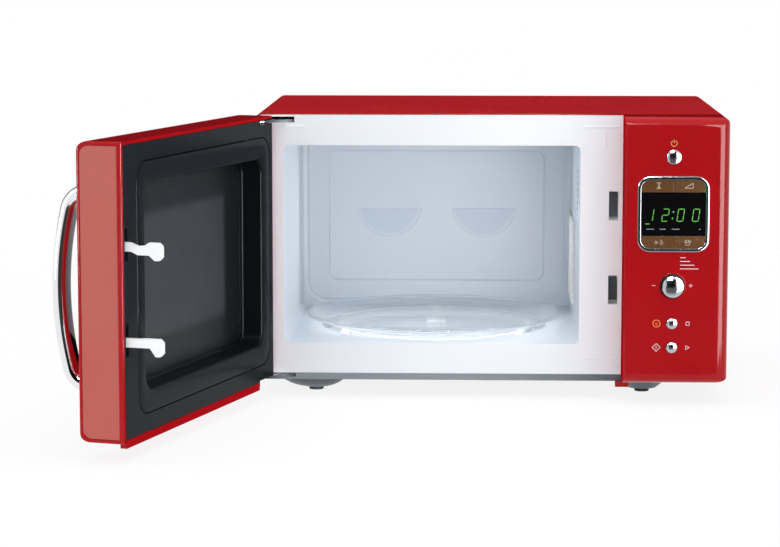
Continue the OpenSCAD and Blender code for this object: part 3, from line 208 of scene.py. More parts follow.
# Injection-moulded ABS from a polished mould: the same red, wet and clear, with sharp lights,
# and matt on the side that shuts against the front frame.
moulded_abs = matt_side(
    finish("red_gloss_moulded_abs", ("AE131A", "A81118"), 170, (0.09, 0.11), 90, 8.0, 0.002),
    (math.sin(OPEN_ANGLE), math.cos(OPEN_ANGLE), 0), 0.16)
# The same moulding for the control panel, matt where it stands beside the door.
panel_abs = matt_side(
    finish("red_gloss_abs_of_panel", ("AF1319", "A91117"), 170, (0.09, 0.11), 90, 8.0, 0.002),
    (-1, 0, 0), 0.2)
# Printed polyester sheet glued into the door's edge: matt and paler than the door.
edge_sheet = finish("pale_red_matt_polyester_sheet", ("BC594D", "B45246"), 70, (0.5, 0.6), 30, 0.8,
                    0.006, Specular_IOR_Level=0.2)
# Epoxy powder coat on steel, white: satin, the grain too fine to see but as a soft sheen.
white_coat = finish("white_powder_coat", ("F5F8FB", "F2F5F9"), 180, (0.30, 0.34), 90, 1.4, 0.001,
                    Specular_IOR_Level=0.12)
# Vitreous enamel fired on the cavity's steel: pale blue-grey and smooth, with faint broad waves.
cavity_enamel = finish("pale_blue_cavity_enamel", ("D3D9DF", "CFD5DC"), 150, (0.34, 0.38), 90,
                       14.0, 0.002, Specular_IOR_Level=0.2)
# Enamel run thin over a punched hole's edge lets the dark ground coat show, and this dark also
# paints in the shade inside the lamp's vent holes.
dark_vent_edge_and_painted_shade = finish("dark_vent_edge_with_painted_shade", ("3A4046", "30363B"), 3, (0.5, 0.6), 3, 0.4, 0.002)
# Grey polyester coat on the base's steel: dull, slightly mottled.
base_coat = finish("grey_coated_steel", ("5F696F", "586167"), 40, (0.38, 0.48), 30, 1.0, 0.006,
                   Metallic=0.2)
# Hot-dip zinc on steel: bluish grey metal with broad soft spangles.
zinc = finish("zinc_plated_steel", ("B2B7BB", "9DA3A8"), 9, (0.34, 0.46), 14, 0.7, 0.003,
              pattern=spangles, Metallic=1.0)
# Bright zinc on cut screws and small turned parts: brighter and smoother than sheet.
bright_zinc = finish("bright_zinc_plating", ("C0C4C7", "B0B4B7"), 3, (0.22, 0.32), 4, 0.4, 0.003,
                     Metallic=1.0)
# Moulded natural rubber: black, dull, faintly dusty.
rubber = finish("black_moulded_rubber", ("1A1A1B", "262627"), 8, (0.7, 0.85), 6, 0.4, 0.02)
# Glass-filled nylon: black with a dry fine grain.
black_nylon = finish("black_moulded_nylon", ("17181A", "1F2022"), 12, (0.42, 0.55), 10, 0.35, 0.01)
# Acetal: off-white, waxy, low gloss.
white_acetal = finish("white_moulded_acetal", ("F8F9F8", "F3F4F3"), 14, (0.28, 0.38), 12, 0.6,
                      0.005, Subsurface_Weight=0.05, Subsurface_Scale=0.002)
# Heat-stabilised polyester moulding: cream white.
cream_plastic = finish("cream_moulded_polyester", ("E6E1D2", "DDD7C6"), 18, (0.4, 0.5), 12, 0.5,
                       0.008)
# Pressed mica board: pale warm grey, flecked with small flakes.
mica = finish("pressed_mica_board", ("ECEBE8", "DDDAD3"), 4, (0.35, 0.5), 4, 1.2, 0.01,
              pattern=flakes)
# Black ABS moulding with a satin mould face: the door's inner frame.
black_frame = finish("black_satin_moulded_frame", ("12171A", "0F1417"), 80, (0.20, 0.22), 60, 0.5,
                     0.0005, Specular_IOR_Level=0.03)
# Polycarbonate window, tinted nearly black and hard coated: a deep mirror.
black_window = finish("black_tinted_polycarbonate", ("060608", "09090B"), 60, (0.03, 0.05), 40,
                      8.0, 0.001, IOR=1.58)
# Decorative chrome plating over copper and nickel on ABS: a clean cold mirror.
chrome = finish("bright_chrome_plating", ("ECEDEF", "E6E8EA"), 30, (0.02, 0.05), 18, 9.0, 0.0008,
                Metallic=1.0)
# The same plating over a satin nickel ground, on the small caps and the display's rim.
satin_chrome = finish("satin_chrome_plating", ("BEC1C4", "B7BABD"), 12, (0.10, 0.13), 8, 1.5,
                      0.0008, Metallic=1.0)
# Back-painted brown acrylic, brushed look: the key caps.
brown_key = finish("brown_back_painted_acrylic", ("6E4820", "5E3A17"), 5, (0.22, 0.3), 14, 0.6,
                   0.002, Specular_IOR_Level=0.4)
# Silicon steel laminations under varnish: dark, streaked by the edges of the sheets. They are
# half a millimetre thick and drawn as bands of 6 mm, so that they show.
laminations = finish("varnished_steel_laminations", ("55504B", "37322E"), 1.0, (0.35, 0.5), 6, 0.6,
                     0.12, pattern=bands("Y", 0.4), Metallic=0.6)
# Enamelled copper wire, close wound: turns of 1.6 mm, drawn as bands of 10 mm so that they show.
copper_wire = finish("enamelled_copper_winding", ("B9642F", "7E3A17"), 1.6, (0.22, 0.35), 3, 1.1,
                     0.3, pattern=bands("Z", 0.6), Metallic=0.9)
# Phosphated and oiled steel: nearly black, dull metal; on the hinges this black also paints in the
# shade that lies on their plates.
dark_steel_and_painted_shade = finish("black_steel_with_painted_shade", ("2B2C2E", "232426"), 8, (0.42, 0.5), 8, 0.5, 0.004,
                    Metallic=0.8)
# Grey glass-filled polyester: the switches' bodies.
grey_switch = finish("grey_moulded_polyester", ("9FA3A6", "94989B"), 10, (0.4, 0.5), 8, 0.4, 0.006)
# Drawn aluminium can: soft satin.
aluminium = finish("drawn_aluminium_can", ("BFC3C6", "B0B4B7"), 20, (0.28, 0.4), 10, 0.8, 0.004,
                   Metallic=1.0)
# Glass-fibre board under green solder resist, with the copper tracks showing as paler lines.
board = finish("green_circuit_board", ("3C8A54", "1B5230"), 5, (0.3, 0.42), 5, 0.9, 0.03,
               pattern=tracks)
# Drawn spring wire.
spring_steel = finish("drawn_spring_wire", ("9A9EA1", "84888B"), 2, (0.25, 0.35), 2, 0.3, 0.003,
                      Metallic=1.0)
# Heat-proof pressed glass: thick, clear and nearly colourless.
tray_glass = finish("clear_pressed_glass", ("FBFDFE", "F7FBFC"), 60, (0.01, 0.03), 30, 14.0, 0.004,
                    Transmission_Weight=1.0, IOR=1.24, Alpha=0.6)
# Blown glass of the oven's lamp: thin, clear and colourless.
bulb_glass = finish("clear_bulb_glass", ("FDFDFB", "F8F8F5"), 12, (0.02, 0.04), 8, 5.0, 0.003,
                    Transmission_Weight=0.8, IOR=1.45)
# Screen-printed ink: flat and matt, laid a twentieth of a millimetre thick.
INKS = {shade: finish(shade + "_screen_printed_ink", tones, patch, (0.5, 0.6), 4, 0.4, 0.002)
        for shade, tones, patch in (
            ("pale", ("EBD3D3", "E2C6C6"), 6), ("cream", ("C9B79A", "BBA788"), 5),
            ("grey", ("7C8088", "6E727A"), 5), ("amber", ("E5A322", "DB961A"), 5),
            ("orange", ("F0771F", "E86C18"), 5))}
# Vacuum fluorescent phosphor: glows green by itself behind the black window.
phosphor = finish("green_display_phosphor", ("4FB032", "46A42B"), 3, (0.4, 0.5), 3, 0.4, 0.001,
                  Emission_Color=colour("4EBE30"), Emission_Strength=0.22)


def closed_box(node):
    """Lowest and highest corner in metres of a door node, turned back to the closed door."""
    back = SWING.inverted()
    points = [back @ v.co for v in nodes[node].data.vertices]
    return [Vector([pick(p[i] for p in points) for i in range(3)]) for pick in (min, max)]


def smoked_film():
    """Smoked sheet in front of the perforated steel, clear in a soft-edged field.

    The steel's holes are 1 mm at 1.5 mm pitch; they are drawn at 3.6 mm so that they show.
    """
    pitch = 3.6 * MM
    field_right, field_up = 3 * MM, 2 * MM
    field_half_w, field_half_h, field_edge = 101 * MM, 60 * MM, 10 * MM
    material, tree, shader = blank("smoked_film_over_perforated_steel")
    turn = Matrix.Rotation(OPEN_ANGLE, 3, "Z")
    closed = add(tree, "Mapping", {
        "Vector": add(tree, "TexCoord").outputs["Object"],
        "Rotation": (0, 0, OPEN_ANGLE), "Location": HINGE - turn @ HINGE})
    x, _, z = add(tree, "SeparateXYZ", closed).outputs

    def field(value, centre, half):
        """1 within a half width of the centre, falling softly to 0 at the border."""
        away = add(tree, "Math:ABSOLUTE", add(tree, "Math:SUBTRACT", value, centre))
        return add(tree, "MapRange", away, half, half - field_edge, **SMOOTH)

    low, high = closed_box("window_film")
    clear_part = add(tree, "Math:MULTIPLY",
                     field(x, (low.x + high.x) / 2 + field_right, field_half_w),
                     field(z, (low.z + high.z) / 2 + field_up, field_half_h))
    # Two square grids of holes, the second half a pitch further: distance to the nearest hole.
    dots = []
    for shift in (0.0, 0.5):
        squares = []
        for value in (x, z):
            for operation, other in (("DIVIDE", pitch), ("ADD", shift), ("FRACT", 0.0),
                                     ("SUBTRACT", 0.5)):
                value = add(tree, "Math:" + operation, value, other)
            squares.append(add(tree, "Math:MULTIPLY", value, value))
        dots.append(add(tree, "Math:SQRT", add(tree, "Math:ADD", *squares)))
    steel = add(tree, "MapRange", add(tree, "Math:MINIMUM", *dots), 0.2, 0.3)
    dust = add(tree, "TexNoise", {"Vector": closed, "Scale": per_mm(45), "Detail": 3.0})
    tone = add(tree, "Mix", {0: dust, 6: colour("4C4D52"), 7: colour("414247")},
               data_type="RGBA")
    for factor, under in ((steel, "08090A"), (clear_part, "121517")):
        tone = add(tree, "Mix", {0: factor, 6: colour(under), 7: tone}, data_type="RGBA")
    feed(tree, shader, {"Base Color": tone, "Specular IOR Level": 0.12,
                        "Roughness": add(tree, "MapRange", dust, 0.0, 1.0, 0.34, 0.42)})
    return material


WEARS = {node: material for material, worn_by in (
    (painted_steel, "outer_cover"), (base_coat, "base_plate"), (white_coat, "front_frame"),
    (cavity_enamel, "cavity_liner"), (rubber, "rubber_feet"), (mica, "waveguide_cover"),
    (zinc, "back_plate waveguide magnetron capacitor_clamp turntable_motor"),
    (bright_zinc, "case_screws fan_rotor encoder_shaft door_screws"),
    (dark_steel_and_painted_shade, "upper_hinge lower_hinge"), (spring_steel, "latch_spring"),
    (laminations, "transformer_core fan_motor"), (copper_wire, "transformer_windings"),
    (aluminium, "capacitor"), (board, "noise_filter control_board"),
    (black_nylon, "cable_inlet diode thermal_cutout dial_cup"),
    (cream_plastic, "fan_shroud lamp_holder"), (grey_switch, "door_switches"),
    (white_acetal, "fan_blade latch_board drive_coupler roller_ring roller_1 roller_2 roller_3 "
                   "latch"),
    (bulb_glass, "lamp_bulb"), (tray_glass, "glass_tray"),
    (black_window, "display_window front_glass"), (smoked_film(), "window_film"),
    (chrome, "display_bezel dial_knob on_button stop_button start_button handle"),
    (brown_key, "clock_key power_key defrost_key auto_key"), (panel_abs, "control_panel"),
    (moulded_abs, "door_shell"), (edge_sheet, "edge_panel"),
    (black_frame, "door_frame choke_cover screen_panel"),
) for node in worn_by.split()}


def wear(piece, material):
    """Gives a piece its one material."""
    piece.data.materials.clear()
    piece.data.materials.append(material)


for name, material in WEARS.items():
    wear(nodes[name], material)

# ---------- modelling tools

TO_ROW = Matrix.Translation((CENTRE_X, FRONT_Y, 0)) @ Matrix.Scale(MM, 4)


def clear():
    """Leaves edit mode and deselects everything."""
    if bpy.context.mode != "OBJECT":
        bpy.ops.object.mode_set(mode="OBJECT")
    bpy.ops.object.select_all(action="DESELECT")


def hold(piece):
    """Makes a piece the only one selected, in object mode."""
    clear()
    piece.select_set(True)
    bpy.context.view_layer.objects.active = piece


def start(shape, name, **sizes):
    """Adds a primitive in cabinet millimetres and opens it for editing, selected all over."""
    clear()
    getattr(bpy.ops.mesh, "primitive_" + shape + "_add")(**sizes)
    piece = bpy.context.object
    piece.name = piece.data.name = name
    bpy.ops.object.transform_apply(location=True, rotation=True, scale=True)
    bpy.ops.object.mode_set(mode="EDIT")
    return piece


def sheet(name, place, width, height):
    """A flat rectangle that faces the front, opened for editing."""
    piece = start("plane", name, size=1, location=place, rotation=(math.pi / 2, 0, 0))
    bpy.ops.transform.resize(value=(width, 1, height), center_override=place)
    return piece


def polygon(name, place, radius, corners):
    """A flat polygon that faces the front, opened for editing."""
    return start("circle", name, vertices=corners, radius=radius, fill_type="NGON",
                 location=place, rotation=(math.pi / 2, 0, 0))


def choose(test, kind="FACE"):
    """Selects the faces or vertices, by middle and normal, or edges, by middle and direction."""
    bpy.context.tool_settings.mesh_select_mode = [kind == k for k in ("VERT", "EDGE", "FACE")]
    bpy.ops.mesh.select_all(action="DESELECT")
    mesh = bmesh.from_edit_mesh(bpy.context.edit_object.data)
    mesh.normal_update()
    for item in {"VERT": mesh.verts, "EDGE": mesh.edges, "FACE": mesh.faces}[kind]:
        if kind == "EDGE":
            first, last = (vert.co for vert in item.verts)
            place, way = (first + last) / 2, (last - first).normalized()
        else:
            place = item.co if kind == "VERT" else item.calc_center_median()
            way = item.normal
        item.select_set(bool(test(place, way)))
    bmesh.update_edit_mesh(bpy.context.edit_object.data)


def right_side_out():
    """Turns all faces of the edited piece outwards."""
    bpy.ops.mesh.select_all(action="SELECT")
    bpy.ops.mesh.remove_doubles(threshold=0.001)
    bpy.ops.mesh.normals_make_consistent(inside=False)


def join(name, pieces):
    """Several pieces as one, in object mode."""
    hold(pieces[0])
    for piece in pieces:
        piece.select_set(True)
    bpy.ops.object.join()
    pieces[0].name = pieces[0].data.name = name
    return pieces[0]


def settle(piece, body, material, stands_for=(), door=False, smooth=32):
    """Puts a finished piece in its place in the frame, on its body, in its material."""
    hold(piece)
    piece.matrix_world = (SWING if door else Matrix.Identity(4)) @ TO_ROW
    bpy.ops.object.transform_apply(location=True, rotation=True, scale=True)
    if smooth:
        bpy.ops.object.shade_smooth_by_angle(angle=math.radians(smooth))
    wear(piece, material)
    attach(piece, body)
    if stands_for:
        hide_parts(*stands_for)
    return piece


def turned(name, axis, place, rings, count):
    """A closed turned piece: a disc extruded and scaled through (radius, distance) rings."""
    axis, place = Vector(axis), Vector(place)
    piece = start("circle", name, vertices=count, radius=rings[0][0], fill_type="NGON",
                  location=place + axis * rings[0][1],
                  rotation=axis.to_track_quat("Z", "Y").to_euler())
    for (r0, d0), (r1, d1) in zip(rings, rings[1:]):
        bpy.ops.mesh.extrude_region_move(TRANSFORM_OT_translate={"value": axis * (d1 - d0)})
        bpy.ops.transform.resize(value=(r1 / r0,) * 3, center_override=place + axis * d1)
    right_side_out()
    return piece


def outline(index, x0, z0, x1, z1, corner, y):
    """A rounded rectangle of edges facing the front, tagged with its place in a set of rings."""
    piece = sheet("outline", ((x0 + x1) / 2, y, (z0 + z1) / 2), x1 - x0, z1 - z0)
    bpy.ops.mesh.bevel(offset=corner, segments=9, affect="VERTICES")
    bpy.ops.mesh.select_all(action="SELECT")
    bpy.ops.mesh.delete(type="ONLY_FACE")
    mesh = bmesh.from_edit_mesh(piece.data)
    tag = mesh.verts.layers.int.new("ring")
    for vert in mesh.verts:
        vert[tag] = index
    bmesh.update_edit_mesh(piece.data)
    return piece


def choose_rings(*wanted):
    """Selects the edges that run along the wanted rings."""
    bpy.context.tool_settings.mesh_select_mode = (False, True, False)
    bpy.ops.mesh.select_all(action="DESELECT")
    mesh = bmesh.from_edit_mesh(bpy.context.edit_object.data)
    tag = mesh.verts.layers.int["ring"]
    for edge in mesh.edges:
        ends = {edge.verts[0][tag], edge.verts[1][tag]}
        edge.select_set(len(ends) == 1 and ends <= set(wanted))
    bmesh.update_edit_mesh(bpy.context.edit_object.data)


def framed(name, rings, rounding):
    """A closed moulding through a set of outlines, the last joined to the first.

    The outlines are bridged while they stand apart, then brought to their places. rounding
    gives the radius of the rounded edge along each ring that has one.
    """
    apart = 50
    piece = join(name, [outline(i + 1, *ring[:5], ring[5] + i * apart)
                        for i, ring in enumerate(rings)])
    bpy.ops.object.mode_set(mode="EDIT")
    count = len(rings)
    for i in range(count):
        choose_rings(i + 1, (i + 1) % count + 1)
        bpy.ops.mesh.bridge_edge_loops()
    for i in range(count):
        choose_rings(i + 1)
        bpy.ops.transform.translate(value=(0, -i * apart, 0))
    for ring, radius in sorted(rounding.items(), key=lambda item: -item[1]):
        choose_rings(ring)
        bpy.ops.mesh.bevel(offset=radius, segments=5, affect="EDGES")
        mesh = bmesh.from_edit_mesh(piece.data)
        tag = mesh.verts.layers.int["ring"]
        for vert in mesh.verts:
            if vert.select:
                vert[tag] = 0
    right_side_out()
    return piece


def soft_copy(node, width, folds=(), pressed=()):
    """A copy of a CAD node, welded, with its hard edges rounded, in its material and place.

    folds holds pairs of a radius and a test of an edge, both in cabinet millimetres, for the
    edges that get a wider radius first. pressed holds pairs of a test of a corner and a shift
    towards the back, also in millimetres, for a pressing that is made shallower.
    """
    piece = nodes[node].copy()
    piece.data = nodes[node].data.copy()
    piece.name = piece.data.name = node + "_softened"
    piece.parent = None
    for key in list(piece.keys()):
        del piece[key]
    bpy.context.scene.collection.objects.link(piece)
    piece.matrix_world = Matrix.Identity(4)
    hold(piece)
    if piece.data.has_custom_normals:
        bpy.ops.mesh.customdata_custom_splitnormals_clear()
    bpy.ops.object.mode_set(mode="EDIT")
    bpy.ops.mesh.select_all(action="SELECT")
    bpy.ops.mesh.remove_doubles(threshold=0.01 * MM)
    bpy.ops.mesh.dissolve_limited(angle_limit=math.radians(1.0))
    to_mm = TO_ROW.inverted()
    for test, shift in pressed:
        choose(lambda m, normal: test(to_mm @ m), "VERT")
        bpy.ops.transform.translate(value=(0, shift * MM, 0))
    for radius, test in folds:
        choose(lambda m, along: test(to_mm @ m, along), "EDGE")
        bpy.ops.mesh.bevel(offset=radius * MM, segments=5, affect="EDGES", clamp_overlap=False)
    bpy.ops.object.mode_set(mode="OBJECT")
    rim = piece.modifiers.new("rim", "BEVEL")
    rim.width, rim.segments = width * MM, 3
    rim.limit_method, rim.angle_limit = "ANGLE", math.radians(35)
    rim.use_clamp_overlap = True
    bpy.ops.object.modifier_apply(modifier=rim.name)
    bpy.ops.object.shade_smooth_by_angle(angle=math.radians(60))
    flat = piece.modifiers.new("flat_faces", "WEIGHTED_NORMAL")
    flat.mode, flat.weight, flat.keep_sharp = "FACE_AREA", 100, True
    bpy.ops.object.modifier_apply(modifier=flat.name)
    wear(piece, WEARS[node])
    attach(piece, nodes[node]["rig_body"])
    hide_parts(node)
    return piece


def in_mm(p):
    """A point of the frame in cabinet millimetres."""
    return Vector(((p.x - CENTRE_X) / MM, (p.y - FRONT_Y) / MM, p.z / MM))


def middle(node):
    """Middle and half size of a CAD node in cabinet millimetres."""
    low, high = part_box(node)
    h = (high - low) / 2
    return in_mm((low + high) / 2), Vector((h.x / MM, h.y / MM, h.z / MM))


def front(node):
    """The plane of a CAD node's front."""
    m, half = middle(node)
    return m.y - half.y


def inset(box, by, corner, y):
    """One ring for framed: a box of x0, z0, x1, z1 made smaller on all sides."""
    return box[0] + by, box[1] + by, box[2] - by, box[3] - by, corner, y


def borders(m, half):
    """Left, lower, right and upper border of a box given by its middle and half size."""
    return m.x - half.x, m.z - half.z, m.x + half.x, m.z + half.z


# ---------- controls

PANEL_Y = front("control_panel")
PANEL_BACK = PANEL_Y + 2.5


def dome(radius, sphere, top, shares):
    """Rings of a turned piece's domed end, each at a share of its radius."""
    return [(radius * t, top - sphere + math.sqrt(sphere ** 2 - (radius * t) ** 2))
            for t in shares] + [(0.05, top)]


def push_button(name):
    """Satin chrome button: a domed cap on a short wall, a flange and a stem behind the panel."""
    m, half = middle(name + "_button")
    stem, r, rise = 2, half.x - 1.4, 2
    top, flange_back, flange_top = half.y - m.y, -PANEL_BACK - 1.7, -PANEL_BACK - 0.3
    rings = [(stem, -m.y - half.y), (stem, flange_back), (half.x, flange_back),
             (half.x, flange_top), (r, flange_top), (r, top - 2.25), (r * 0.997, top - 2.08)]
    rings += dome(r, (r * r + rise ** 2) / (2 * rise), top,
                  (0.985, 0.94, 0.86, 0.76, 0.65, 0.53, 0.4, 0.27, 0.13))
    cap = turned(name + "_button_cap", (0, -1, 0), (m.x, 0, m.z), rings, 64)
    settle(cap, name + "_key", satin_chrome, (name + "_button",))


for button in ("on", "stop", "start"):
    push_button(button)


def dial():
    """Satin chrome dial: a low drum whose top is part of a ball."""
    m, half = middle("dial_knob")
    r, top = half.x, half.y - m.y
    knob = turned("dial_knob_cap", (0, -1, 0), (m.x, 0, m.z), [
        (r - 1.0, top - 2 * half.y), (r, top - 2 * half.y), (r, top - 3.5), (r * 0.997, top - 3.2)]
        + dome(r, 18, top, (0.985, 0.94, 0.87, 0.78, 0.68, 0.57, 0.45, 0.32, 0.18, 0.08)), 96)
    settle(knob, "dial", satin_chrome, ("dial_knob",))


dial()


def bezel():
    """Satin chrome rim of the display: a half-round band with a collar that fills the hole."""
    m, half = middle("display_bezel")
    proud, rim, collar = 2.0, 3.5, 2.2
    y, back = PANEL_Y, m.y + half.y
    piece = framed("display_rim", [inset(borders(m, half), *ring) for ring in (
        (0, 12, y - 0.02), (0, 12, y - proud), (rim, 8.5, y - proud), (rim, 8.5, back),
        (collar, 9.8, back), (collar, 9.8, y - 0.02))], {2: 1.3, 3: 0.5})
    settle(piece, "cabinet", satin_chrome, ("display_bezel",))


bezel()

# ---------- clock face and marks

INK = 0.05
screen_y, key_y = front("display_window"), front("clock_key")


def thick(piece):
    """Gives a flat mark in edit mode its layer of ink and leaves edit mode."""
    bpy.ops.mesh.select_all(action="SELECT")
    bpy.ops.mesh.extrude_region_move(TRANSFORM_OT_translate={"value": (0, INK, 0)})
    right_side_out()
    clear()
    return piece


def turn_about(piece, place, degrees):
    """Turns a finished mark in the panel's plane."""
    centre, angle = Vector(place), -math.radians(degrees)
    piece.data.transform(Matrix.Translation(centre) @ Matrix.Rotation(angle, 4, "Y")
                         @ Matrix.Translation(-centre))
    return piece


def bar(x, z, y, length, height, angle=0.0):
    """Printed straight stroke, turned by an angle in degrees."""
    place = (x, y - INK, z)
    return turn_about(thick(sheet("stroke", place, length, height)), place, angle)


def disc(x, z, y, radius, corners, angle=0.0, hollow=0.0, gap=0.0):
    """Printed polygon or disc; hollow leaves only an outline, gap opens it at the top."""
    place = (x, y - INK, z)
    piece = polygon("disc", place, radius, corners)
    if hollow:
        bpy.ops.mesh.inset(thickness=hollow, depth=0)
        bpy.ops.mesh.delete(type="FACE")
    if gap:
        choose(lambda m, n: m.z > z and abs(m.x - x) < gap)
        bpy.ops.mesh.delete(type="FACE")
    return turn_about(thick(piece), place, angle)


def joined(name, pieces, body, material, smooth=0):
    """Several marks, or other small forms, as one piece on one body."""
    return settle(join(name, pieces), body, material, smooth=smooth)


def segment(x, z, y, length, width, upright=False):
    """One bar of a clock figure, with mitred ends."""
    place = (x, y - INK, z)
    piece = polygon("segment", place, 1, 6)
    corners = bmesh.from_edit_mesh(piece.data).verts
    wide = max(abs(v.co.x - x) for v in corners)
    high = max(abs(v.co.z - z) for v in corners)
    bpy.ops.transform.resize(value=(width / 2 / wide, 1, length / 2 / high),
                             center_override=place)
    choose(lambda v, n: abs(v.z - z) < length * 0.4, "VERT")
    bpy.ops.transform.resize(value=(1, 1, (length - width) / (length / 2)), center_override=place)
    thick(piece)
    return piece if upright else turn_about(piece, place, -90)


# The segments of each figure, and their middles in halves of the figure's width and height.
FIGURES = {"0": "abcdef", "1": "bc", "2": "abdeg"}
LYING = {"a": (0, 1), "g": (0, 0), "d": (0, -1)}
UPRIGHT = {"f": (-1, 0.5), "b": (1, 0.5), "e": (-1, -0.5), "c": (1, -0.5)}
FIGURE_HALF_W, FIGURE_HALF_H, STROKE, MITRE_GAP = 2.8, 5.7, 0.72, 0.5
LEAN = math.radians(8)


def figure(sign, x, z, y):
    """A seven-segment figure about its middle."""
    strokes = []
    for k in FIGURES[sign]:
        across, up = {**LYING, **UPRIGHT}[k]
        length = FIGURE_HALF_H if k in UPRIGHT else 2 * FIGURE_HALF_W
        strokes.append(segment(x + across * FIGURE_HALF_W, z + up * FIGURE_HALF_H, y,
                               length - MITRE_GAP, STROKE, k in UPRIGHT))
    return strokes


dial_middle = middle("dial_knob")[0]
control_x, clock_z = dial_middle.x, 179.2
digits = [p for sign, x in (("1", -21.5), ("2", -7.3), ("0", 6.8), ("0", 21.0))
          for p in figure(sign, control_x + x, clock_z, screen_y)]
digits += [disc(control_x - 0.4, clock_z + dz, screen_y, 0.75, 12) for dz in (-3.0, 3.0)]
digits += [bar(control_x - 22.7, clock_z - 8.3, screen_y, 3.8, 0.9)]
clock_digits = joined("clock_digits", digits, "cabinet", phosphor)
slope = Matrix.Identity(4)
slope[0][2] = math.tan(LEAN)
pivot = Matrix.Translation(at(control_x, 0, clock_z))
clock_digits.data.transform(pivot @ slope @ pivot.inverted())


def printed(name, body, ink, x, z, y, *strokes):
    """A mark about a place: bars and discs, each with its shift and then its own sizes."""
    joined(name, [shape(x + dx, z + dz, y, *sizes) for shape, dx, dz, *sizes in strokes], body,
           INKS[ink])


printed("display_marks", "cabinet", "grey", control_x, clock_z - 13.2, screen_y,
        *((bar, dx, 0, length, 0.8)
          for dx, length in ((-21.3, 7.0), (-9.8, 5.6), (2.2, 7.0), (24.6, 1.3))))
left_x, upper_z = middle("clock_key")[0].x, middle("clock_key")[0].z + 0.6
right_x, lower_z = middle("power_key")[0].x, middle("defrost_key")[0].z - 0.3
printed("hourglass_mark", "clock_cap", "cream", left_x + 1.2, upper_z, key_y,
        (bar, 0, 2.7, 4.4, 0.5), (bar, 0, -2.7, 4.4, 0.5), (disc, 0, 1.2, 1.5, 3, 180, 0.35),
        (disc, 0, -1.2, 1.5, 3))
printed("power_mark", "power_cap", "cream", right_x, upper_z, key_y, (bar, -0.8, -2.3, 8.0, 0.5),
        (bar, 3.0, 0.1, 4.6, 0.5, 90), (bar, -0.9, 0.1, 8.6, 0.5, 31.5))
printed("defrost_mark", "defrost_cap", "cream", left_x, lower_z, key_y,
        *((bar, -0.6, 0, 3.4, 0.4, angle) for angle in (0, 60, 120)),
        (disc, 4.0, -0.5, 1.5, 24, 0, 0.4), (disc, 4.0, 1.6, 0.8, 3))
printed("cooking_mark", "auto_cap", "cream", right_x, lower_z, key_y,
        (disc, -1.4, 1.2, 1.5, 28, 0, 0.4), (disc, -3.2, 0.7, 1.3, 28, 0, 0.4),
        (disc, 0.4, 0.7, 1.3, 28, 0, 0.4), (bar, -1.4, -2.4, 3.6, 0.45),
        (bar, -3.1, -1.2, 2.6, 0.45, 90), (bar, 0.3, -1.2, 2.6, 0.45, 90))

stop_z, start_z, on_z = (middle(name + "_button")[0].z for name in ("stop", "start", "on"))
printed("panel_marks", "cabinet", "pale", control_x, 0, PANEL_Y,
        (bar, -17.3, dial_middle.z + 0.6, 3.0, 0.5), (bar, 17.1, dial_middle.z + 0.6, 3.2, 0.6),
        (bar, 17.1, dial_middle.z + 0.6, 3.2, 0.6, 90),
        *((bar, 7.0 + length / 2, 139.4 - 3.5 * i, length, 0.7)
          for i, length in enumerate((5.0, 9.0, 13.0, 17.0))),
        (disc, -14.3, start_z, 4.1, 4, 0, 0.55), (disc, -14.3, start_z, 1.0, 20, 0, 0.35),
        (disc, 14.6, stop_z, 2.5, 4, 45, 0.5), (disc, 14.2, start_z, 2.6, 3, -90, 0.45))
printed("stop_ring_mark", "cabinet", "orange", control_x - 14.3, stop_z, PANEL_Y,
        (disc, 0, 0, 3.7, 44, 0, 0.85), (disc, 0, -0.3, 1.7, 3, 180, 0.4))
printed("on_mark", "cabinet", "amber", control_x, on_z, PANEL_Y,
        (disc, 0, 12.6, 3.0, 48, 0, 0.6, 1.1), (bar, 0, 14.6, 3.4, 0.6, 90))

# ---------- softened pressings and mouldings

# Rounding of the edges of each CAD node in millimetres.
ROUNDING = {
    "door_shell": 0.9, "door_frame": 0.35, "edge_panel": 0.3,
    "latch": 0.8, "upper_hinge": 0.35, "lower_hinge": 0.35,
    "clock_key": 0.3, "power_key": 0.3, "defrost_key": 0.3, "auto_key": 0.3,
    "dial_cup": 0.25, "drive_coupler": 0.9, "roller_ring": 0.6, "roller_1": 0.6,
    "roller_2": 0.6, "roller_3": 0.6, "base_plate": 0.3, "rubber_feet": 0.8,
    "waveguide_cover": 0.4, "case_screws": 0.3, "front_frame": 0.2, "outer_cover": 0.25,
}
for node, width in ROUNDING.items():
    soft_copy(node, width)

# The hinges' pins and knuckles are bright zinc on the dark plates, whose dark is partly painted
# shade.
for name in ("upper_hinge_softened", "lower_hinge_softened"):
    hinge = bpy.data.objects[name]
    hinge.data.materials.append(bright_zinc)
    for face in hinge.data.polygons:
        if (face.center - HINGE).xy.length < 6.2 * MM:
            face.material_index = 1

# The control panel dips round the dial's hole.
soft_copy("control_panel", 0.9, [
    (1.9, lambda m, along: abs(m.y - PANEL_Y) < 0.05
     and math.hypot(m.x - dial_middle.x, m.z - dial_middle.z) < 16)])

# The cavity's back is one pressing: a deep pan with shallow embosses, all with soft folds.
# Its levels are distances behind wall_y, the plane of its rim.
liner_middle, liner_half = middle("cavity_liner")
SHEET, PRESSING_DEPTH = 1, 12.5
wall_y = liner_middle.y + liner_half.y - SHEET - PRESSING_DEPTH
cavity_x0, cavity_x1 = (liner_middle.x + side * (liner_half.x - SHEET) for side in (-1, 1))
ceiling_z = liner_middle.z + liner_half.z - SHEET
CAVITY_FLOOR_Z = 50.8
# Middles of the two half-round embosses: height, and distance from the cavity's middle.
disc_z = CAVITY_FLOOR_Z + 106
disc_x = (2 * liner_half.x - 2 * SHEET) * 0.177


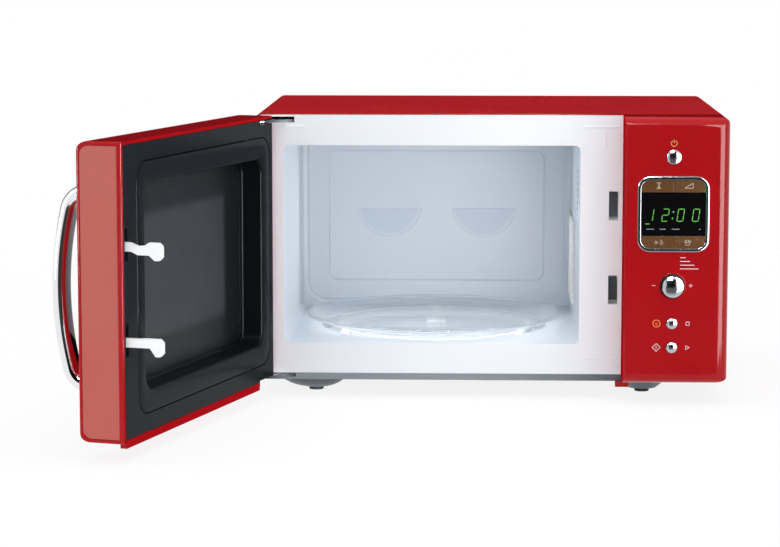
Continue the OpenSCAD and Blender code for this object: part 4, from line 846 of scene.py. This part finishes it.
def in_pan(m):
    """Whether a fold belongs to the pan's border, up to 22 mm wide, and not to the embosses."""
    return (m.x < cavity_x0 + 22 or m.x > cavity_x1 - 22 or m.z < CAVITY_FLOOR_Z + 20
            or m.z > ceiling_z - 20)


def in_disc(m):
    """Whether a place belongs to one of the two half-round embosses."""
    return abs(m.z - disc_z) < 38 and abs(abs(m.x - liner_middle.x) - disc_x) < 38


def level(m, *depths):
    """Whether a place lies on one of the pressing's levels."""
    return any(abs(m.y - wall_y - d) < 0.06 for d in depths)


def fold(radius, levels, place):
    """A fold that runs across the depth at some levels, where the place passes a test."""
    return radius, lambda m, along: abs(along.y) < 0.1 and level(m, *levels) and place(m)


liner = soft_copy("cavity_liner", 0.3, [
    fold(2.6, (0, 7), in_pan), fold(1.4, (7, 10), lambda m: not in_pan(m) and not in_disc(m)),
    fold(0.42, (10, 11), in_disc)],
    pressed=[(lambda m: in_disc(m) and level(m, 12.5, 13.5), -1.5)])


def paint_disc_shade(material, centres, radius, border=5):
    """Painted shade: the enamel's colour is drawn a shade darker in the lower halves of the two
    discs.
    """
    tree = material.node_tree
    tone = tree.nodes["Principled BSDF"].inputs["Base Color"]
    x, _, z = add(tree, "SeparateXYZ", add(tree, "TexCoord").outputs["Object"]).outputs
    masks = []
    for centre in centres:
        reach = add(tree, "VectorMath:DISTANCE", add(tree, "CombineXYZ", {0: x, 2: z}),
                    (centre.x, 0, centre.z))
        inside = add(tree, "MapRange", reach, radius * MM, (radius - border) * MM, **SMOOTH)
        lower = add(tree, "MapRange", z, centre.z - 3 * MM, centre.z - 6 * MM, **SMOOTH)
        depth = add(tree, "Math:ADD", add(tree, "Math:MULTIPLY", lower, 0.75), 0.12)
        masks.append(add(tree, "Math:MULTIPLY", inside, depth))
    mask = add(tree, "Math:MAXIMUM", *masks)
    # C3CCD6 is the painted shade of the discs' lower halves.
    shaded_tone = add(tree, "Mix", {0: mask, 6: tone.links[0].from_socket, 7: colour("C3CCD6")},
                 data_type="RGBA")
    tree.links.new(shaded_tone.outputs[2], tone)


# The two discs' painted shade, laid into the enamel of the whole cavity.
paint_disc_shade(cavity_enamel, [at(liner_middle.x + side * disc_x, 0, disc_z) for side in (-1, 1)], 34)
# The walls of the lamp's vents, punched through the enamel: dark, partly bare edge and partly
# painted shade of the holes.
liner.data.materials.append(dark_vent_edge_and_painted_shade)
bulb_middle = middle("lamp_bulb")[0]
for face in liner.data.polygons:
    place = TO_ROW.inverted() @ face.center
    if (cavity_x1 - 0.2 < place.x < cavity_x1 + 1.2 and abs(place.y - bulb_middle.y) < 13
            and abs(place.z - bulb_middle.z) < 26 and abs(face.normal.x) < 0.9):
        face.material_index = 1

# ---------- door


def to_closed(node):
    """Middle and half size in millimetres of a door node, on the closed door."""
    low, high = (in_mm(p) for p in closed_box(node))
    return (low + high) / 2, (high - low) / 2


def choke_moulding():
    """Black inner cover of the door: a flat face that rolls over into the window's well."""
    m, half = to_closed("choke_cover")
    film_m, film_half = to_closed("window_film")
    cover, well = borders(m, half), borders(film_m, film_half)
    face, floor = m.y + half.y, film_m.y + film_half.y + 0.05
    back = face - 2.5
    wall, roll, lip = 1.8, 6.5, 0.85
    piece = framed("choke_moulding", [inset(*ring) for ring in (
        (cover, 0, 18.3, back), (cover, 0, 18.3, face), (well, wall, 14, face),
        (well, wall, 14, floor + lip), (well, roll, 16.2 - roll, floor + lip),
        (well, roll, 16.2 - roll, floor), (well, 0, 15.8, floor), (well, 0, 15.8, back))],
        {3: 2.6, 4: 2.4, 2: 0.9, 5: 0.5})
    settle(piece, "door", black_frame, ("choke_cover",), door=True)


choke_moulding()


def bow_handle():
    """Chrome bow: a rounded bar's section spun through two tight ends and one long arc."""
    m, half = to_closed("handle")
    foot_y = m.y + half.y
    tight, end = 19.0, half.z - 25.0
    rise = 2 * half.y - 25.0
    drop = (end * end - rise ** 2) / (2 * rise)
    turn = math.atan2(drop, end)
    piece = sheet("handle_bow", (m.x, foot_y, m.z - end - tight), 20, 12)
    bpy.ops.mesh.bevel(offset=5.7, segments=9, affect="VERTICES")
    bpy.ops.mesh.select_all(action="SELECT")
    for steps, angle, centre in ((14, turn, (m.x, foot_y, m.z - end)),
                                 (36, math.pi - 2 * turn, (m.x, foot_y + drop, m.z)),
                                 (14, turn, (m.x, foot_y, m.z + end))):
        bpy.ops.mesh.spin(steps=steps, angle=angle, center=centre, axis=(1, 0, 0))
    right_side_out()
    settle(piece, "door", chrome, ("handle",), door=True)


bow_handle()

# ---------- left feet's bowls


def foot_bowls():
    """The base's steel is drawn down round the left feet as bowls that run out to the side."""
    feet, feet_half = middle("rubber_feet")
    x, z, foot_r = -166, 17, 7
    bowls = []
    for side in (-1, 1):
        y = feet.y + side * (feet_half.y - foot_r)
        bowl = turned("foot_bowl", (0, 0, -1), (x, y, z), [
            (29.2, 1.0), (28.9, 2.6), (27.6, 5.0), (25.3, 7.4), (22.0, 9.7), (18.0, 11.6),
            (14.2, 12.8)], 48)
        choose(lambda m, normal: m.x < x - 0.5, "VERT")
        bpy.ops.transform.resize(value=(1.25, 1, 1), center_override=(x, y, z))
        bowls.append(bowl)
    joined("left_foot_bowls", bowls, "cabinet", base_coat, smooth=50)


foot_bowls()

# ---------- front frame's beads


def bead(x, z, length, upright=False):
    """A bead pressed into the frame's sheet: a half-round ridge with soft ends."""
    place = (x, 0.2, z)
    piece = start("cube", "bead", size=1, location=place)
    bpy.ops.transform.resize(value=(2.2, 1.38, length) if upright else (length, 1.38, 2.2),
                             center_override=place)
    choose(lambda m, along: m.y < -0.4, "EDGE")
    bpy.ops.mesh.bevel(offset=0.45, segments=3, affect="EDGES")
    right_side_out()
    return piece


joined("frame_beads", [bead(cavity_x0 + 10, 257.9, 20)]
       + [bead(cavity_x1 + 19, z, 34) for z in (37.4, 257.9)]
       + [bead(cavity_x1 + 23.1, 246.5, 17, True)], "cabinet", white_coat)

# ---------- turntable


def revolved(name, x, y, profile, steps):
    """A body of revolution about an upright axis from a closed (radius, height) profile."""
    piece = start("circle", name, vertices=len(profile), radius=1, fill_type="NOTHING")
    mesh = bmesh.from_edit_mesh(piece.data)
    mesh.verts.ensure_lookup_table()
    for vert, (radius, z) in zip(mesh.verts, profile):
        vert.co = (x + radius, y, z)
    bmesh.update_edit_mesh(piece.data)
    bpy.ops.mesh.select_all(action="SELECT")
    bpy.ops.mesh.spin(steps=steps, angle=2 * math.pi, center=(x, y, 0), axis=(0, 0, 1))
    right_side_out()
    return piece


def glass_dish():
    """Heat-proof pressed glass tray with a rolled rim and a flat base ring."""
    m, half = middle("glass_tray")
    rim, base = half.x, half.x - 19.5
    z = m.z + half.z - 10
    dish = revolved("glass_dish", m.x, m.y, [
        (0.01, z), (base - 3, z), (base - 1.2, z + 0.3), (base, z + 0.6), (rim - 4, z + 6.4),
        (rim - 1.4, z + 7.4), (rim - 0.4, z + 8.0), (rim, z + 8.9), (rim - 0.3, z + 9.6),
        (rim - 1.1, z + 10.0), (rim - 2.4, z + 9.9), (rim - 4.2, z + 9.3), (rim - 8, z + 8.6),
        (base + 1, z + 4.6), (base - 1, z + 3.9), (base - 3, z + 3.5), (0.01, z + 3.5)], 120)
    settle(dish, "turntable", tray_glass, ("glass_tray",), smooth=50)


glass_dish()

# ---------- studio


def backdrop():
    """A pale floor that keeps the oven's shadow, and a white room with a dark camera side."""
    clear()
    bpy.ops.mesh.primitive_plane_add(size=14)
    floor = bpy.context.object
    floor.name = "studio_floor"
    material, tree, paper = blank("white_studio_paper")
    feed(tree, paper, {"Base Color": colour("F9F9F9"), "Roughness": 0.9,
                       "Specular IOR Level": 0.1})
    ray = add(tree, "LightPath").outputs
    seen = add(tree, "Math:MAXIMUM", ray["Is Camera Ray"], ray["Is Transmission Ray"])
    seen = add(tree, "Math:MAXIMUM", seen, ray["Is Glossy Ray"])
    place = add(tree, "TexCoord").outputs["Object"]
    # Far from the oven the paper is burnt out; close to it a soft shadow stays.
    away = add(tree, "VectorMath:LENGTH", place)
    plain = add(tree, "MapRange", away, 0.45, 1.3, 0.86, 1.0, **SMOOTH)
    # In reflections the floor falls off into the studio's dark side in front of the oven.
    x, y, _ = add(tree, "SeparateXYZ", place).outputs

    def dark_part(middle_x, start_y, end_y, strength):
        """The floor between two lines that run out from the oven, darker towards the front."""
        ratio = add(tree, "Math:DIVIDE", add(tree, "Math:SUBTRACT", x, middle_x), y)
        part = add(tree, "Math:MULTIPLY", add(tree, "MapRange", ratio, 0.85, 0.7, **SMOOTH),
                   add(tree, "MapRange", ratio, -0.55, -0.4, **SMOOTH))
        part = add(tree, "Math:MULTIPLY", add(tree, "MapRange", y, start_y, end_y, **SMOOTH), part)
        return add(tree, "Math:MULTIPLY", part, strength)

    fall = add(tree, "Math:ADD", dark_part(CENTRE_X + 0.17, -0.06, -0.18, 0.82),
               dark_part(CENTRE_X, -0.35, -1.0, 0.14))
    fall = add(tree, "Math:MULTIPLY", fall, ray["Is Glossy Ray"])
    glow = add(tree, "Emission", (1, 1, 1, 1), add(tree, "Math:SUBTRACT", 1.0, fall))
    burnt = add(tree, "Math:MAXIMUM", plain, ray["Is Glossy Ray"])
    burnt = add(tree, "Math:MULTIPLY", seen, burnt)
    feed(tree, tree.nodes["Material Output"],
         {"Surface": add(tree, "MixShader", burnt, paper, glow)})
    floor.data.materials.append(material)

    world = bpy.data.worlds.new("studio")
    bpy.context.scene.world = world
    world.use_nodes = True
    tree = world.node_tree
    tree.nodes.clear()
    ray = add(tree, "LightPath").outputs
    x, y, z = add(tree, "SeparateXYZ", add(tree, "TexCoord").outputs["Generated"]).outputs
    # The studio's dark side, where the camera stands: seen only in reflections.
    left, right, under, camera_side, behind, below = (
        add(tree, "MapRange", value, low, high, **SMOOTH) for value, low, high in (
            (x, -0.62, -0.52), (x, 0.42, 0.32), (z, 0.72, 0.62), (y, -0.2, -0.4),
            (y, 0.5, 0.6), (z, 0.75, 0.55)))
    dark = add(tree, "Math:MULTIPLY", add(tree, "Math:MULTIPLY", left, right),
               add(tree, "Math:MULTIPLY", under, camera_side))
    # A low dark flag behind the oven keeps the cover's top from washing out at a glance.
    flag = add(tree, "Math:MULTIPLY", behind, below)
    room_tone = add(tree, "Mix", {0: add(tree, "Math:MAXIMUM", dark, flag),
                                  6: (1, 1, 1, 1), 7: (0.004, 0.004, 0.005, 1)},
                    data_type="RGBA")
    lit = add(tree, "Background", colour("F3F6FA"), 0.84)
    mirrored = add(tree, "Background", room_tone, 1.0)
    white = add(tree, "Background", (1, 1, 1, 1), 1.0)
    mixed = add(tree, "MixShader", ray["Is Glossy Ray"], lit, mirrored)
    seen = add(tree, "Math:MAXIMUM", ray["Is Camera Ray"], ray["Is Transmission Ray"])
    add(tree, "OutputWorld", add(tree, "MixShader", seen, mixed, white))


def lamp(name, place, target, size, power, tint="FFFFFF", glossy=True, lights=True):
    """A rectangular soft lamp at a place, aimed at a target, all in cabinet millimetres."""
    data = bpy.data.lights.new(name, "AREA")
    data.shape = "RECTANGLE"
    data.size, data.size_y = size[0] * MM, size[1] * MM
    data.energy = power
    data.color = colour(tint)[:3]
    made = bpy.data.objects.new(name, data)
    bpy.context.scene.collection.objects.link(made)
    made.location = at(*place)
    made.rotation_euler = (at(*target) - at(*place)).to_track_quat("-Z", "Y").to_euler()
    made.visible_camera = False
    made.visible_glossy = glossy
    made.visible_diffuse = lights


def camera():
    """View of the open oven from the front, a little above its top."""
    data = bpy.data.cameras.new("front_camera")
    data.sensor_width = 36
    data.lens = 122.22
    made = bpy.data.objects.new("front_camera", data)
    bpy.context.scene.collection.objects.link(made)
    made.location = at(-4.3, -2495.4, 435.6)
    made.rotation_euler = (math.radians(90 - 7.249), 0, math.radians(2.061))
    data.clip_start, data.clip_end = 0.05, 60
    bpy.context.scene.camera = made


backdrop()
lamp("top_softbox", (0, -100, 1500), (0, 100, 100), (1600, 900), 10.5, glossy=False)
# Four boxes that only draw the lights on gloss and chrome.
lamp("high_strip", (-245, -1250, 1515), (-35, 0, 200), (900, 560), 54, lights=False)
lamp("right_box", (402, -192, 160), (402, 100, 160), (281, 360), 4.4, lights=False)
lamp("fold_strip", (112, -700, 130), (-200, -700, 130), (160, 360), 50, lights=False)
lamp("left_strip", (-1500, -700, 450), (-200, -100, 140), (240, 1100), 30, lights=False)
lamp("front_fill", (-700, -2800, 700), (0, 0, 150), (2000, 1400), 8.5, glossy=False)
# The room light that the open cavity gathers, let in through its mouth.
lamp("cavity_light", (-55, 4, 145), (-55, 180, 140), (284, 180), 0.015, "F8FBFF", glossy=False)
# The oven's own lamp behind the vents is on while the door is open.
lamp("oven_lamp", (84, 64, 180), (-120, 40, 140), (20, 50), 0.3, "FCFDFF", glossy=False)
# Light thrown back off the rear wall on to the walls beside it.
lamp("rear_bounce", (-55, 215, 140), (-55, 0, 140), (250, 130), 0.16, "F8FBFF", glossy=False)
camera()

bpy.context.scene.view_settings.view_transform = "Standard"
